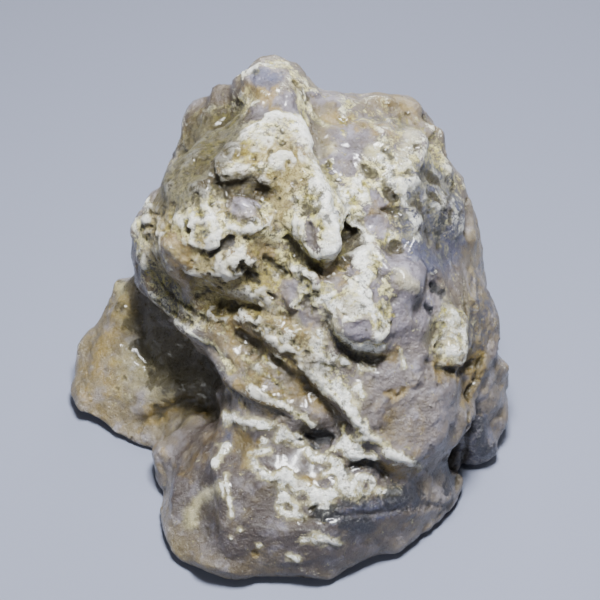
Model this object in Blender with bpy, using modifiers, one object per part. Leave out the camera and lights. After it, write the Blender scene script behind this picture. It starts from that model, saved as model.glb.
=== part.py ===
"""A wind-worn lump of quartz with a chalky rind, built as the one solid that it is.

The stone is set out in the views that a viewer has of it, the front view above all: across, up and near
are measured from the middle of that view. Ellipsoid lumps give the masses and are fused into one skin,
hollows are cut from it, and strokes drawn in a view then raise ridges, cut grooves and sink pits.
Everything is worked in millimetres and brought to its true height in metres at the end.
"""

import math
from typing import NamedTuple

import bmesh
import bpy
import numpy as np
from mathutils import Matrix, Vector, noise
from mathutils.bvhtree import BVHTree

# Driving dimensions
STONE_HEIGHT = 0.053  # metres, from the resting flat to the crown
MOST_TRIANGLES = 9400

# The look of the plain solid
STONE_COLOUR = (0.52, 0.47, 0.40)
STONE_ROUGHNESS = 0.6

# How finely the surface is worked, in millimetres
FUSE_VOXEL = 1.0
WORK_VOXEL = 0.6
FUSE_SMOOTHING = 14
HOLLOW_SMOOTHING = 3

# The one seed of the weathering, so that it comes out the same every time
WEATHER_SEED = 4

# The resting side
UNDERSIDE_RADIUS = 220.0  # the underside is this slightly bowed
UNDERSIDE_DROP = 0.6  # how far the bow would dip below the ground before it is ground flat
UNDERSIDE_CENTRE = (0.0, -4.0)
UNDERSIDE_RELIEF = 0.45  # the depth of its dents
UNDERSIDE_GRAIN = 9.0  # and their size

VIEW_MIDDLE = np.array([0.0, 2.0, 24.0])  # the point that every viewer looks at
VIEW_REACH = 320.0  # from a viewer's eye to that point


class View:
    """A viewer's place: across, up and near are the directions of what that viewer sees."""

    def __init__(self, azimuth, elevation):
        turn = math.radians(azimuth)
        tilt = math.radians(elevation)
        self.across = np.array([math.cos(turn), math.sin(turn), 0.0])
        level = np.array([math.sin(turn), -math.cos(turn), 0.0])
        self.near = level * math.cos(tilt) + np.array([0.0, 0.0, math.sin(tilt)])
        self.up = np.cross(self.near, self.across)
        self.eye = VIEW_MIDDLE + VIEW_REACH * self.near

    def point(self, across, up, near=0.0):
        """The point seen at (across, up) on the plane through the middle, this near to the viewer."""
        spread = (VIEW_REACH - near) / VIEW_REACH
        return VIEW_MIDDLE + spread * (across * self.across + up * self.up) + near * self.near

    def surface_point(self, tree, across, up):
        """Where the line of sight through (across, up) meets the skin, with the skin's normal there."""
        sight = Vector(self.point(across, up) - self.eye).normalized()
        place, normal, _, _ = tree.ray_cast(Vector(self.eye), sight)
        return place, normal


FRONT = View(0, 45)
LEFT = View(-95, 15)
RIGHT = View(95, 15)
BACK = View(180, 20)


class Lump(NamedTuple):
    """An ellipsoid: its centre and radii along across, up and near, and its turn in the view."""

    centre: tuple
    radii: tuple
    turn: float = 0.0
    view: View = FRONT


LUMPS = {
    "heart": Lump((4.0, -3.0, -6.0), (17.5, 26.0, 20.0)),
    "back": Lump((2.0, 3.0, -16.0), (19.0, 19.0, 12.0)),
    "back_top_left": Lump((-8.0, 15.0, -9.0), (9.5, 9.0, 8.5)),
    "back_top_right": Lump((6.0, 15.0, -9.0), (10.0, 9.0, 9.0)),
    "back_foot": Lump((4.0, -6.0, -22.0), (20.0, 12.0, 10.0)),
    "front_foot": Lump((0.0, -28.0, -2.0), (18.5, 11.8, 14.0)),
    "front_foot_left": Lump((-13.0, -33.0, -2.5), (6.5, 8.0, 8.0), 20),
    "front_toe": Lump((-9.4, -34.6, 3.0), (6.5, 5.0, 6.0)),
    "front_foot_right": Lump((14.0, -27.0, -6.0), (8.5, 8.0, 10.0)),
    "head": Lump((-7.0, 13.5, 8.0), (15.0, 11.5, 12.0), 38),
    "left_knob": Lump((-17.4, 8.0, 1.0), (6.3, 7.5, 8.0), -15),
    "crown": Lump((-4.0, 27.8, 4.0), (5.6, 6.3, 8.0)),
    "back_shoulder": Lump((-10.1, 23.4, -4.0), (6.3, 7.2, 8.0), 15),
    "left_back": Lump((-16.2, 15.0, -8.0), (4.6, 7.6, 8.0), -25),
    "right_peak": Lump((13.6, 22.8, -4.0), (6.4, 7.0, 9.0)),
    "saddle": Lump((5.5, 20.5, 0.0), (10.0, 8.0, 11.0)),
    "right_slope": Lump((10.5, 14.0, 3.0), (12.0, 11.0, 11.0), 30),
    "right_shoulder": Lump((17.9, 9.6, -7.0), (8.8, 10.2, 12.0), 20),
    "right_flank": Lump((20.0, -5.0, -6.0), (7.0, 15.0, 14.0)),
    "right_back_lobe": Lump((24.4, -14.6, -12.0), (4.8, 11.8, 8.0), -9),
    "wing": Lump((-23.5, -8.5, -17.5), (8.2, 14.0, 6.5), -25),
    "wing_top": Lump((-21.0, 1.5, -17.0), (5.0, 6.5, 5.5)),
    "wing_foot": Lump((-22.0, -15.4, -16.5), (9.8, 7.0, 6.5), -25),
    "wing_back": Lump((-14.0, -2.0, -17.0), (10.0, 11.0, 9.0)),
    "wing_root": Lump((-12.5, -22.0, -7.0), (7.5, 7.0, 8.0)),
    "wing_join": Lump((-14.0, -13.0, -15.5), (8.5, 8.0, 8.0)),
    "jaw": Lump((-12.4, -1.6, 2.5), (8.5, 4.6, 7.0), -38),
    "throat": Lump((-8.5, -8.5, 2.0), (5.5, 4.5, 7.0), -38),
    "beak": Lump((2.0, 10.0, 15.0), (4.5, 8.5, 6.0), 5),
    "chest": Lump((7.0, 0.0, 6.0), (14.0, 12.0, 12.0)),
    "belly": Lump((11.0, -13.0, 2.0), (12.5, 13.0, 12.0)),
    "neck": Lump((-2.0, -12.0, 2.0), (9.0, 10.0, 10.0)),
}

# The recess beneath the overhanging head, from its far left end to its right end
HOLLOWS = {
    "recess_top": Lump((-21.4, -3.6, -1.0), (2.4, 4.4, 8.5), 20),
    "recess_middle": Lump((-17.6, -7.6, -0.5), (4.8, 3.0, 8.5), -42),
    "recess_end": Lump((-13.0, -10.4, 1.0), (3.4, 2.4, 9.0), -38),
}


class Facet(NamedTuple):
    """A place worn flat: how far it reaches and how deep the wear goes at its middle."""

    across: float
    up: float
    reach: float
    wear: float
    view: View = FRONT


FACETS = (
    Facet(1.0, -24.0, 11.0, 0.9),
    Facet(-4.0, -34.0, 8.0, 1.0),
    Facet(11.0, -33.0, 9.0, 1.2),
    Facet(-14.6, -30.0, 6.5, 1.3),
    Facet(-15.0, -22.0, 6.0, 1.0),
    Facet(14.0, -14.0, 9.5, 1.1),
    Facet(21.5, -20.0, 7.0, 1.2),
    Facet(10.0, 22.0, 8.5, 0.8),
    Facet(3.4, 23.0, 4.5, 0.5),
    Facet(19.0, 8.0, 7.0, 0.7),
    Facet(24.0, -3.0, 6.0, 0.7),
    Facet(27.0, -14.0, 6.0, 0.7),
    Facet(-26.0, -5.0, 10.0, 1.6),
    Facet(-24.0, -15.0, 8.0, 1.4),
    Facet(-16.6, -18.0, 5.5, 0.8),
    Facet(-9.6, 2.6, 5.0, 0.4),
    Facet(-13.0, 13.0, 5.0, 0.5),
    Facet(-13.6, 25.0, 4.5, 0.5),
    Facet(-19.0, 2.0, 5.0, 0.6),
    Facet(-14.0, 6.0, 12.0, 1.6, BACK),
    Facet(4.0, 1.0, 14.0, 2.0, BACK),
    Facet(-9.0, -11.0, 12.0, 2.0, BACK),
    Facet(11.0, -12.0, 11.0, 1.6, BACK),
    Facet(14.0, 8.0, 9.0, 1.0, BACK),
    Facet(-22.0, -6.0, 9.0, 1.2, BACK),
    Facet(3.0, 17.0, 7.0, 0.8, BACK),
    Facet(-12.0, 18.0, 7.0, 0.8, BACK),
    Facet(22.0, -12.0, 7.0, 1.0, BACK),
    Facet(-9.0, 14.0, 8.0, 0.9, LEFT),
    Facet(3.0, 15.0, 7.0, 0.8, LEFT),
    Facet(-20.0, 0.0, 10.0, 1.4, LEFT),
    Facet(-2.0, 4.0, 7.0, 0.8, LEFT),
    Facet(-2.0, -13.0, 9.0, 1.2, LEFT),
    Facet(16.0, -14.0, 7.0, 0.8, LEFT),
    Facet(10.0, 8.0, 10.0, 1.4, RIGHT),
    Facet(0.0, -6.0, 11.0, 1.2, RIGHT),
    Facet(18.0, -2.0, 11.0, 1.8, RIGHT),
    Facet(-14.0, -12.0, 8.0, 1.0, RIGHT),
    Facet(-24.0, -20.0, 7.0, 0.8, RIGHT),
    Facet(14.0, -17.0, 9.0, 1.2, RIGHT),
)


class Stroke(NamedTuple):
    """One stroke of the carver: a path in a view, how wide it reaches and how far it lifts the skin."""

    profile: str
    path: tuple
    width: float
    lift: float
    view: View = FRONT


def ridge(width, lift, *path, view=FRONT):
    """A raised, narrow-backed rib."""
    return Stroke("crest", path, width, lift, view)


def groove(width, depth, *path, view=FRONT):
    """A cut with a sharp floor."""
    return Stroke("crest", path, width, -depth, view)


def swell(width, lift, *path, view=FRONT):
    """A soft rise, or a soft dip when the lift is negative."""
    return Stroke("round", path, width, lift, view)


def pit(width, depth, *path, view=FRONT):
    """A steep-sided hole, or a slot along a path."""
    return Stroke("steep", path, width, -depth, view)


def ledge(width, lift, *path, view=FRONT):
    """A step, raised on the left of the path and fading away from it."""
    return Stroke("ledge", path, width, lift, view)


STROKES = (
    # The spine from the crown down to the beak, and the ground falling away on each side of it
    ridge(3.6, 1.2, (-2.2, 29), (-1.5, 27), (-0.3, 23), (1.8, 18), (3.2, 13), (3.6, 7)),
    groove(3.4, 1.6, (1.5, 26), (3.4, 21), (5.6, 16), (6.8, 11), (7.4, 8), (7.2, 5.6)),
    swell(4.2, -1.3, (-3.0, 15.5), (-2.6, 11), (-2.4, 8)),
    ridge(3.0, 1.0, (-3.4, 26), (-6.5, 23.5), (-9.0, 20.6), (-11.4, 19.2), (-12.2, 17.2)),
    ridge(2.8, 0.8, (-1.6, 20), (-4.4, 19.6), (-7.2, 18.6), (-10.2, 17.2)),
    groove(3.4, 3.0, (-11.0, 15.4), (-9.0, 15.9), (-6.8, 15.6), (-4.8, 14.8)),
    swell(5.0, -1.2, (-8.8, 14.2), (-6.4, 13.4)),
    swell(3.6, 1.5, (-8.2, 12.6), (-6.6, 12.0)),
    groove(2.6, 0.9, (-12.6, 18.2), (-12.0, 16.0), (-10.6, 14.6), (-10.4, 12.0)),
    # The left slope with its valley and the rib beyond it
    swell(4.2, -1.8, (-8.2, 29), (-10.6, 25.2), (-12.6, 22.0), (-14.2, 18.4)),
    ridge(3.0, 1.2, (-9.2, 27.5), (-9.8, 24), (-11.0, 20.8), (-14.2, 16.2)),
    ridge(3.4, 1.2, (-11.4, 29.4), (-14.2, 25.2), (-16.2, 21.2), (-18.6, 16.2), (-19.4, 14.4)),
    groove(2.6, 1.0, (-18.6, 20.2), (-20.2, 15.4), (-19.4, 13.6)),
    # Ripples round the left knob and the dents of its face
    ridge(2.0, 0.7, (-22.6, 11.8), (-20.6, 11.6), (-18.0, 11.0)),
    groove(1.8, 0.7, (-23.0, 10.4), (-20.4, 10.2), (-17.6, 9.6)),
    ridge(2.0, 0.7, (-22.8, 9.0), (-20.4, 8.8), (-18.4, 8.6)),
    groove(2.4, 0.8, (-16.4, 12.6), (-15.2, 10.2), (-14.8, 7.8)),
    swell(3.0, 0.8, (-17.2, 7.2), (-16.6, 5.8)),
    swell(3.4, -1.0, (-20.0, 3.4), (-17.0, 0.4)),
    ridge(2.2, 0.8, (-23.2, 4.0), (-20.4, -0.2), (-17.8, -2.4), (-14.4, -4.4), (-11.6, -5.6)),
    # The cheek, its lip and its slots
    swell(5.5, 1.4, (-9.0, 4.6), (-6.0, 1.8)),
    groove(2.2, 1.4, (-13.0, 6.2), (-10.8, 7.4), (-9.0, 8.6)),
    groove(3.0, 2.2, (-6.4, 7.4), (-4.2, 6.0), (-2.4, 4.6)),
    pit(2.4, 1.4, (-7.2, 4.0), (-7.9, 3.3)),
    groove(2.6, 1.3, (-10.0, -0.6), (-6.4, -0.8), (-3.0, -1.6), (-0.4, -3.8)),
    swell(2.6, 1.0, (-1.8, 1.4)),
    groove(2.4, 2.2, (-1.6, 8.2), (0.4, 6.0), (2.2, 4.8), (5.2, 4.2)),
    ridge(2.2, 0.9, (-0.8, 4.4), (1.4, 3.6), (2.6, 3.2)),
    pit(3.0, 2.6, (7.2, 9.2)),
    pit(2.4, 1.4, (6.5, 5.4)),
    # The chest with its white lump over a crescent crack
    swell(6.0, 1.4, (9.0, 4.4), (8.6, 0.6)),
    swell(4.6, 1.6, (7.4, -4.0), (10.4, -5.0)),
    groove(2.4, 2.0, (3.8, -3.6), (5.6, -6.2), (7.8, -8.0), (11.0, -8.4)),
    swell(4.0, 1.2, (15.2, 3.6), (14.8, 2.4)),
    groove(2.6, 1.2, (10.8, 4.6), (12.2, 1.0), (13.0, -3.0)),
    pit(2.8, 1.3, (19.2, 1.2), (18.0, -0.8)),
    # The neck: a straight rib with a furrow on its left, and a second rib below
    ridge(2.6, 1.6, (-7.4, -3.2), (-3.8, -5.2), (-0.6, -8.2), (2.4, -11.4), (6.6, -15.0), (9.2, -18.2)),
    groove(2.8, 1.9, (-8.2, -4.4), (-5.0, -7.0), (-1.6, -9.6), (1.4, -12.4), (4.4, -15.4), (6.4, -17.6)),
    ridge(2.4, 1.1, (-9.4, -11.6), (-6.0, -13.4), (-3.2, -15.0), (-0.4, -16.8)),
    groove(2.6, 1.1, (-9.6, -13.2), (-6.4, -15.0), (-2.6, -16.8)),
    swell(3.0, 0.8, (1.8, -15.2)),
    pit(2.4, 2.0, (1.4, -18.9), (4.2, -19.2)),
    ridge(2.4, 1.0, (9.0, -18.4), (12.0, -20.6), (15.6, -22.6)),
    groove(2.2, 1.5, (7.6, -23.0), (9.6, -22.7), (11.4, -23.8), (12.8, -25.4)),
    # The front lobe: its facets, the corner on the left and the undercut on the right
    ridge(3.0, 1.1, (-9.8, -17.0), (-11.8, -22.6), (-10.0, -26.4), (-10.6, -31.0), (-9.2, -35.0)),
    swell(4.6, -1.0, (-14.4, -26.8), (-13.4, -32.4)),
    ridge(2.6, 0.9, (-17.0, -25.0), (-17.4, -30.4)),
    ledge(6.0, 1.6, (22.0, -28.2), (17.0, -28.4), (12.0, -29.4), (5.6, -30.2), (-1.0, -31.2)),
    groove(2.4, 1.0, (21.6, -29.0), (14.0, -30.0), (6.0, -31.0), (0.0, -31.6)),
    swell(4.0, -0.7, (-4.0, -28.0), (2.0, -24.0)),
    # The wing, creased along its middle
    groove(2.6, 1.3, (-23.0, -17.8), (-19.4, -16.2), (-17.0, -15.0), (-14.2, -14.7), (-12.6, -15.8)),
    ridge(2.8, 0.8, (-24.0, 2.0), (-26.0, -3.0), (-28.4, -8.0), (-28.8, -13.0)),
    swell(5.0, -0.8, (-23.0, -4.0), (-22.6, -10.0)),
    ridge(2.4, 0.9, (-12.4, -17.4), (-13.2, -22.0), (-16.4, -26.2)),
    # The right side: folds of its rough face, the edge of the face and the crease behind it
    ridge(3.0, 0.8, (7.0, 27.2), (10.0, 27.2), (13.4, 28.2), (16.4, 26.2), (18.6, 23.4)),
    swell(5.0, -1.0, (4.2, 24.4), (7.4, 21.0)),
    swell(4.6, 0.9, (10.6, 23.4), (14.8, 21.6)),
    groove(2.8, 1.3, (8.4, 19.4), (10.6, 17.0), (12.2, 14.8), (13.0, 12.2)),
    swell(4.0, 0.9, (8.2, 14.2), (10.4, 11.4)),
    ridge(2.6, 0.8, (13.6, 18.4), (15.4, 17.2), (15.2, 13.4), (16.8, 9.4)),
    swell(4.6, -1.3, (18.2, 15.4), (19.6, 10.8)),
    pit(2.6, 1.2, (18.6, 17.0)),
    pit(2.4, 1.2, (12.8, 7.2)),
    ridge(3.0, 0.9, (21.0, 18.4), (24.0, 14.4), (25.4, 9.0), (25.6, 3.0)),
    swell(4.4, 1.3, (22.0, -4.2), (22.4, -6.6)),
    groove(2.8, 1.6, (19.4, -1.6), (19.4, -6.6), (20.2, -9.4), (24.4, -9.6)),
    groove(2.6, 1.8, (25.2, -8.4), (24.4, -11.6), (22.8, -14.0)),
    ridge(2.6, 1.0, (23.0, -15.2), (23.2, -20.0), (22.2, -25.4)),
    groove(2.4, 1.6, (25.6, -14.6), (24.0, -17.6), (23.8, -21.0), (23.0, -26.0)),
    pit(2.4, 1.2, (21.0, -22.8)),
)

# The relief that weathering gives the whole skin: how far it stands up and down, and its grain
FOLD_RELIEF = 0.35
FOLD_GRAIN = 13.0
CHIP_SLOPE = 0.62
CHIP_GRAIN = 6.5
CHIP_BLEND = 0.25  # how far a chip runs into the next, as a part of the grain
RIND_RELIEF = 0.42
RIND_GRAIN = 3.8
FULLNESS = 0.25  # gives back what the smoothing takes off

# Where the skin is calmer than that, and how much: worn, bare and polished, or carved by the strokes
CALM_ZONES = (
    (Lump((0.0, 2.0, 14.0), (24.0, 34.0, 16.0)), 0.45),
    (Lump((-2.0, -30.0, 6.0), (19.0, 8.0, 22.0)), 0.8),
    (Lump((-3.0, -22.0, 8.0), (8.0, 5.0, 10.0)), 0.75),
    (Lump((-14.0, -25.0, 4.0), (5.0, 8.0, 16.0)), 0.75),
    (Lump((-24.0, -9.0, -12.0), (9.5, 17.0, 12.0), -20), 0.75),
    (Lump((16.0, -13.0, 10.0), (8.0, 9.0, 14.0)), 0.75),
    (Lump((8.0, 23.0, 4.0), (7.5, 5.0, 12.0), -20), 0.75),
    (Lump((15.0, 3.0, 12.0), (3.5, 4.0, 10.0)), 0.75),
)

# How strokes and facets take to the skin
PATH_STEP = 0.5  # between the points at which a path is laid on the skin
NORMAL_REACH = 1.6  # the skin's facing is evened out over this distance along a path
SLANT = 0.35  # how fast a stroke loses hold of skin above or below its path
RING_SHARE = 62  # the percentile of the ringing skin's height at which a facet stops


def in_collection(obj, name):
    """Moves an object into the named collection."""
    collection = bpy.data.collections.get(name)
    if collection is None:
        collection = bpy.data.collections.new(name)
        bpy.context.scene.collection.children.link(collection)
    for holder in list(obj.users_collection):
        holder.objects.unlink(obj)
    collection.objects.link(obj)


def modified(obj, kind, **settings):
    """The object after one modifier of this kind, applied."""
    modifier = obj.modifiers.new(kind.title(), kind)
    for name, value in settings.items():
        setattr(modifier, name, value)
    bpy.context.view_layer.objects.active = obj
    bpy.ops.object.modifier_apply(modifier=modifier.name)
    return obj


def add_lump(lump):
    """An ellipsoid made from an icosphere, laid out along the axes of its view."""
    bpy.ops.mesh.primitive_ico_sphere_add(subdivisions=4, radius=1.0)
    ball = bpy.context.object
    view = lump.view
    axes = Matrix(np.column_stack([view.across, view.up, view.near]).tolist()).to_4x4()
    turned = Matrix.Rotation(math.radians(lump.turn), 4, "Z")
    stretched = Matrix.Diagonal((*lump.radii, 1.0))
    ball.data.transform(Matrix.Translation(view.point(*lump.centre)) @ axes @ turned @ stretched)
    return ball


def fused(lumps, smoothing):
    """The lumps as one closed skin, its creases softened."""
    balls = [add_lump(lump) for lump in lumps.values()]
    bpy.ops.object.select_all(action="DESELECT")
    for ball in balls:
        ball.select_set(True)
    bpy.context.view_layer.objects.active = balls[0]
    bpy.ops.object.join()
    skin = bpy.context.object
    modified(skin, "REMESH", mode="VOXEL", voxel_size=FUSE_VOXEL)
    modified(skin, "SMOOTH", factor=0.5, iterations=smoothing)
    return skin


def coordinates(stone):
    """The corners of the stone's mesh, one row each."""
    flat = np.empty(len(stone.data.vertices) * 3)
    stone.data.vertices.foreach_get("co", flat)
    return flat.reshape(-1, 3)


def normals(stone):
    """The skin's normal at each corner, one row each."""
    flat = np.empty(len(stone.data.vertices) * 3)
    stone.data.vertices.foreach_get("normal", flat)
    return flat.reshape(-1, 3)


def move_to(stone, places):
    """Puts the corners of the stone's mesh at these places."""
    stone.data.vertices.foreach_set("co", places.ravel())
    stone.data.update()


def path_points(path):
    """Points at even steps along a path of straight runs."""
    corners = np.array(path, dtype=float)
    if len(corners) == 1:
        return corners
    runs = np.linalg.norm(np.diff(corners, axis=0), axis=1)
    along = np.concatenate([[0.0], np.cumsum(runs)])
    steps = np.linspace(0.0, along[-1], max(2, int(along[-1] / PATH_STEP) + 1))
    return np.column_stack([np.interp(steps, along, corners[:, axis]) for axis in (0, 1)])


def laid_on(tree, stroke):
    """The stroke's path on the skin: places and evened-out normals, leaving out what misses the stone."""
    hits = [stroke.view.surface_point(tree, *point) for point in path_points(stroke.path)]
    hits = [hit for hit in hits if hit[0] is not None]
    places = np.array([place for place, _ in hits])
    facing = np.array([normal for _, normal in hits])
    if len(hits) > 2:
        spans = np.linalg.norm(places[:, None, :] - places[None, :, :], axis=2)
        facing = np.exp(-((spans / NORMAL_REACH) ** 2)) @ facing
        facing /= np.linalg.norm(facing, axis=1)[:, None]
    return places, facing


def profile_height(profile, out, side):
    """How much of the lift acts at this distance out, as a part of the width."""
    inside = np.clip(1.0 - out, 0.0, 1.0)
    if profile == "crest":
        return inside**1.6
    if profile == "steep":
        return 1.0 - (1.0 - inside) ** 4
    if profile == "ledge":
        return inside**2 * np.clip(0.5 + side * 4.0, 0.0, 1.0)
    return (1.0 - np.clip(out, 0.0, 1.0) ** 2) ** 2


def skin_tree(stone):
    """The stone's skin, ready for lines of sight to meet it."""
    faces = [tuple(polygon.vertices) for polygon in stone.data.polygons]
    return BVHTree.FromPolygons(coordinates(stone).tolist(), faces)


def carve(stone, tree, stroke):
    """Lifts or sinks the skin along one stroke."""
    path, facing = laid_on(tree, stroke)
    if not len(path):
        return
    places = coordinates(stone)
    low = path.min(axis=0) - stroke.width
    high = path.max(axis=0) + stroke.width
    close = np.flatnonzero(np.all((places > low) & (places < high), axis=1))
    gaps = places[close, None, :] - path[None, :, :]
    heights = (gaps * facing[None, :, :]).sum(axis=2)
    spans = np.sqrt(np.maximum((gaps**2).sum(axis=2) - heights**2, 0.0)) + SLANT * np.abs(heights)
    nearest = spans.argmin(axis=1)
    rows = np.arange(len(close))
    headings = np.gradient(path, axis=0) if len(path) > 1 else np.tile(stroke.view.across, (1, 1))
    sideways = np.cross(facing, headings)
    sideways /= np.linalg.norm(sideways, axis=1)[:, None]
    side = (gaps[rows, nearest] * sideways[nearest]).sum(axis=1) / stroke.width
    lifted = stroke.lift * profile_height(stroke.profile, spans[rows, nearest] / stroke.width, side)
    same_face = np.clip((normals(stone)[close] * facing[nearest]).sum(axis=1) * 2.5, 0.0, 1.0)
    places[close] += (lifted * same_face)[:, None] * facing[nearest]
    move_to(stone, places)


def grind(stone, tree, facet):
    """Wears the skin flat around one place, never deeper than the skin that rings it."""
    middle, _ = facet.view.surface_point(tree, facet.across, facet.up)
    if middle is None:
        return
    places = coordinates(stone)
    spans = np.linalg.norm(places - np.array(middle), axis=1)
    close = np.flatnonzero(spans < facet.reach)
    outward = normals(stone)[close].mean(axis=0)
    outward /= np.linalg.norm(outward)
    heights = (places[close] - np.array(middle)) @ outward
    ring = heights[spans[close] > 0.8 * facet.reach]
    level = max(-facet.wear, np.percentile(ring, RING_SHARE))
    places[close] -= np.maximum(heights - level, 0.0)[:, None] * outward
    move_to(stone, places)


def calmness(places):
    """How much calmer the skin is at each place, from 0 to 1."""
    calm = np.zeros(len(places))
    for zone, amount in CALM_ZONES:
        turn = math.radians(zone.turn)
        gaps = places - zone.view.point(*zone.centre)
        across = gaps @ zone.view.across
        up = gaps @ zone.view.up
        along = np.column_stack(
            [
                across * math.cos(turn) + up * math.sin(turn),
                up * math.cos(turn) - across * math.sin(turn),
                gaps @ zone.view.near,
            ]
        )
        out = np.linalg.norm(along / np.array(zone.radii), axis=1)
        calm = np.maximum(calm, amount * np.clip((1.15 - out) / 0.3, 0.0, 1.0))
    return calm


def chip_height(at):
    """The height of a broken, faceted surface: flat chips, each tilted its own way."""
    spans, middles = noise.voronoi(at / CHIP_GRAIN)
    first, second = [
        (at / CHIP_GRAIN - middle).dot(noise.noise_vector(middle * 3.7)) for middle in middles[:2]
    ]
    share = 0.5 + 0.5 * min(1.0, (spans[1] - spans[0]) / CHIP_BLEND)
    return CHIP_GRAIN * CHIP_SLOPE * (share * first + (1.0 - share) * second)


def roughen(stone):
    """Breaks the skin up with folds, chips and the small lumps of the rind."""
    places = coordinates(stone)
    outward = normals(stone)
    rough = 1.0 - calmness(places)
    for index, place in enumerate(places):
        at = Vector(place)
        folds = noise.ridged_multi_fractal(at / FOLD_GRAIN, 0.9, 2.1, 3, 1.0, 2.0) - 1.0
        lumps = noise.fractal(at / RIND_GRAIN, 0.8, 2.2, 3)
        lift = FOLD_RELIEF * folds + chip_height(at) + RIND_RELIEF * lumps
        places[index] += outward[index] * (lift * rough[index] + FULLNESS)
    move_to(stone, places)
    modified(stone, "SMOOTH", factor=0.5, iterations=1)


def keep_outer_skin(stone):
    """Drops every loose shell but the one with the most corners, so nothing is sealed inside."""
    mesh = bmesh.new()
    mesh.from_mesh(stone.data)
    left = set(mesh.verts)
    shells = []
    while left:
        shell = set()
        front = [left.pop()]
        while front:
            vertex = front.pop()
            shell.add(vertex)
            reached = [edge.other_vert(vertex) for edge in vertex.link_edges]
            fresh = [other for other in reached if other in left]
            left.difference_update(fresh)
            front.extend(fresh)
        shells.append(shell)
    shells.sort(key=len)
    inner = [vertex for shell in shells[:-1] for vertex in shell]
    bmesh.ops.delete(mesh, geom=inner, context="VERTS")
    mesh.to_mesh(stone.data)
    mesh.free()


def bow_underside(stone):
    """Lifts whatever reaches lower than a bowed, gently dented underside up to it."""
    places = coordinates(stone)
    out = np.linalg.norm(places[:, :2] - np.array(UNDERSIDE_CENTRE), axis=1)
    lowest = out * out / (2 * UNDERSIDE_RADIUS) - UNDERSIDE_DROP
    for index in np.flatnonzero(places[:, 2] < lowest + UNDERSIDE_RELIEF):
        across, back, _ = places[index] / UNDERSIDE_GRAIN
        dent = UNDERSIDE_RELIEF * noise.fractal(Vector((across, back, 0.0)), 0.8, 2.1, 3)
        places[index, 2] = max(places[index, 2], lowest[index] + dent)
    move_to(stone, places)


def ground_flat(stone):
    """Cuts the underside off level with the ground and closes the cut with one flat face."""
    mesh = bmesh.new()
    mesh.from_mesh(stone.data)
    everything = mesh.verts[:] + mesh.edges[:] + mesh.faces[:]
    cut = bmesh.ops.bisect_plane(
        mesh, geom=everything, plane_co=(0, 0, 0), plane_no=(0, 0, 1), clear_inner=True, dist=1e-4
    )
    rim = [item for item in cut["geom_cut"] if isinstance(item, bmesh.types.BMEdge)]
    bmesh.ops.holes_fill(mesh, edges=rim)
    mesh.to_mesh(stone.data)
    mesh.free()


def finish(stone):
    """Shades the stone smooth and gives it its own material."""
    stone.data.shade_smooth()
    material = bpy.data.materials.new("stone")
    material.use_nodes = True
    shader = material.node_tree.nodes["Principled BSDF"]
    shader.inputs["Base Color"].default_value = (*STONE_COLOUR, 1.0)
    shader.inputs["Roughness"].default_value = STONE_ROUGHNESS
    stone.data.materials.append(material)


def main():
    """Clears the scene and builds the stone in its own collection."""
    noise.seed_set(WEATHER_SEED)
    for obj in list(bpy.data.objects):
        bpy.data.objects.remove(obj)
    stone = fused(LUMPS, FUSE_SMOOTHING)
    stone.name = "stone"
    recess = fused(HOLLOWS, 1)
    recess.name = "recess_cutter"
    recess.hide_render = True
    recess.display_type = "WIRE"
    modified(stone, "TRIANGULATE")
    modified(recess, "TRIANGULATE")
    modified(stone, "BOOLEAN", operation="DIFFERENCE", solver="EXACT", object=recess)
    modified(stone, "REMESH", mode="VOXEL", voxel_size=WORK_VOXEL)
    modified(stone, "SMOOTH", factor=0.5, iterations=HOLLOW_SMOOTHING)
    tree = skin_tree(stone)
    for facet in FACETS:
        grind(stone, tree, facet)
    tree = skin_tree(stone)
    for stroke in STROKES:
        carve(stone, tree, stroke)
    roughen(stone)
    modified(stone, "REMESH", mode="VOXEL", voxel_size=WORK_VOXEL)
    keep_outer_skin(stone)
    bow_underside(stone)
    modified(stone, "REMESH", mode="VOXEL", voxel_size=WORK_VOXEL)
    keep_outer_skin(stone)
    faces = sum(len(p.vertices) - 2 for p in stone.data.polygons)
    modified(stone, "DECIMATE", ratio=MOST_TRIANGLES / faces)
    ground_flat(stone)
    to_size = Matrix.Scale(STONE_HEIGHT / coordinates(stone)[:, 2].max(), 4)
    stone.data.transform(to_size)
    recess.data.transform(to_size)
    finish(stone)
    in_collection(stone, "ventifact")
    in_collection(recess, "cutters")


main()
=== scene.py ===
"""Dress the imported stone: a wind-worn lump of chalcedony under a chalky, pitted rind.

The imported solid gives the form. A copy of it is remeshed finely, worked over with strokes that are set
out in the views that a viewer has of the stone, and given the relief of its two surfaces: the crusted
rind and the bare quartz. The same strokes stain it, so that colour and relief lie in the same places.
Strokes are in millimetres, across and up from the middle of a view, and the meshes are in metres.
"""

import logging
import math
from dataclasses import dataclass
from enum import Enum

import bpy
import numpy as np
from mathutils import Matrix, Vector, noise
from mathutils.bvhtree import BVHTree


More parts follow.
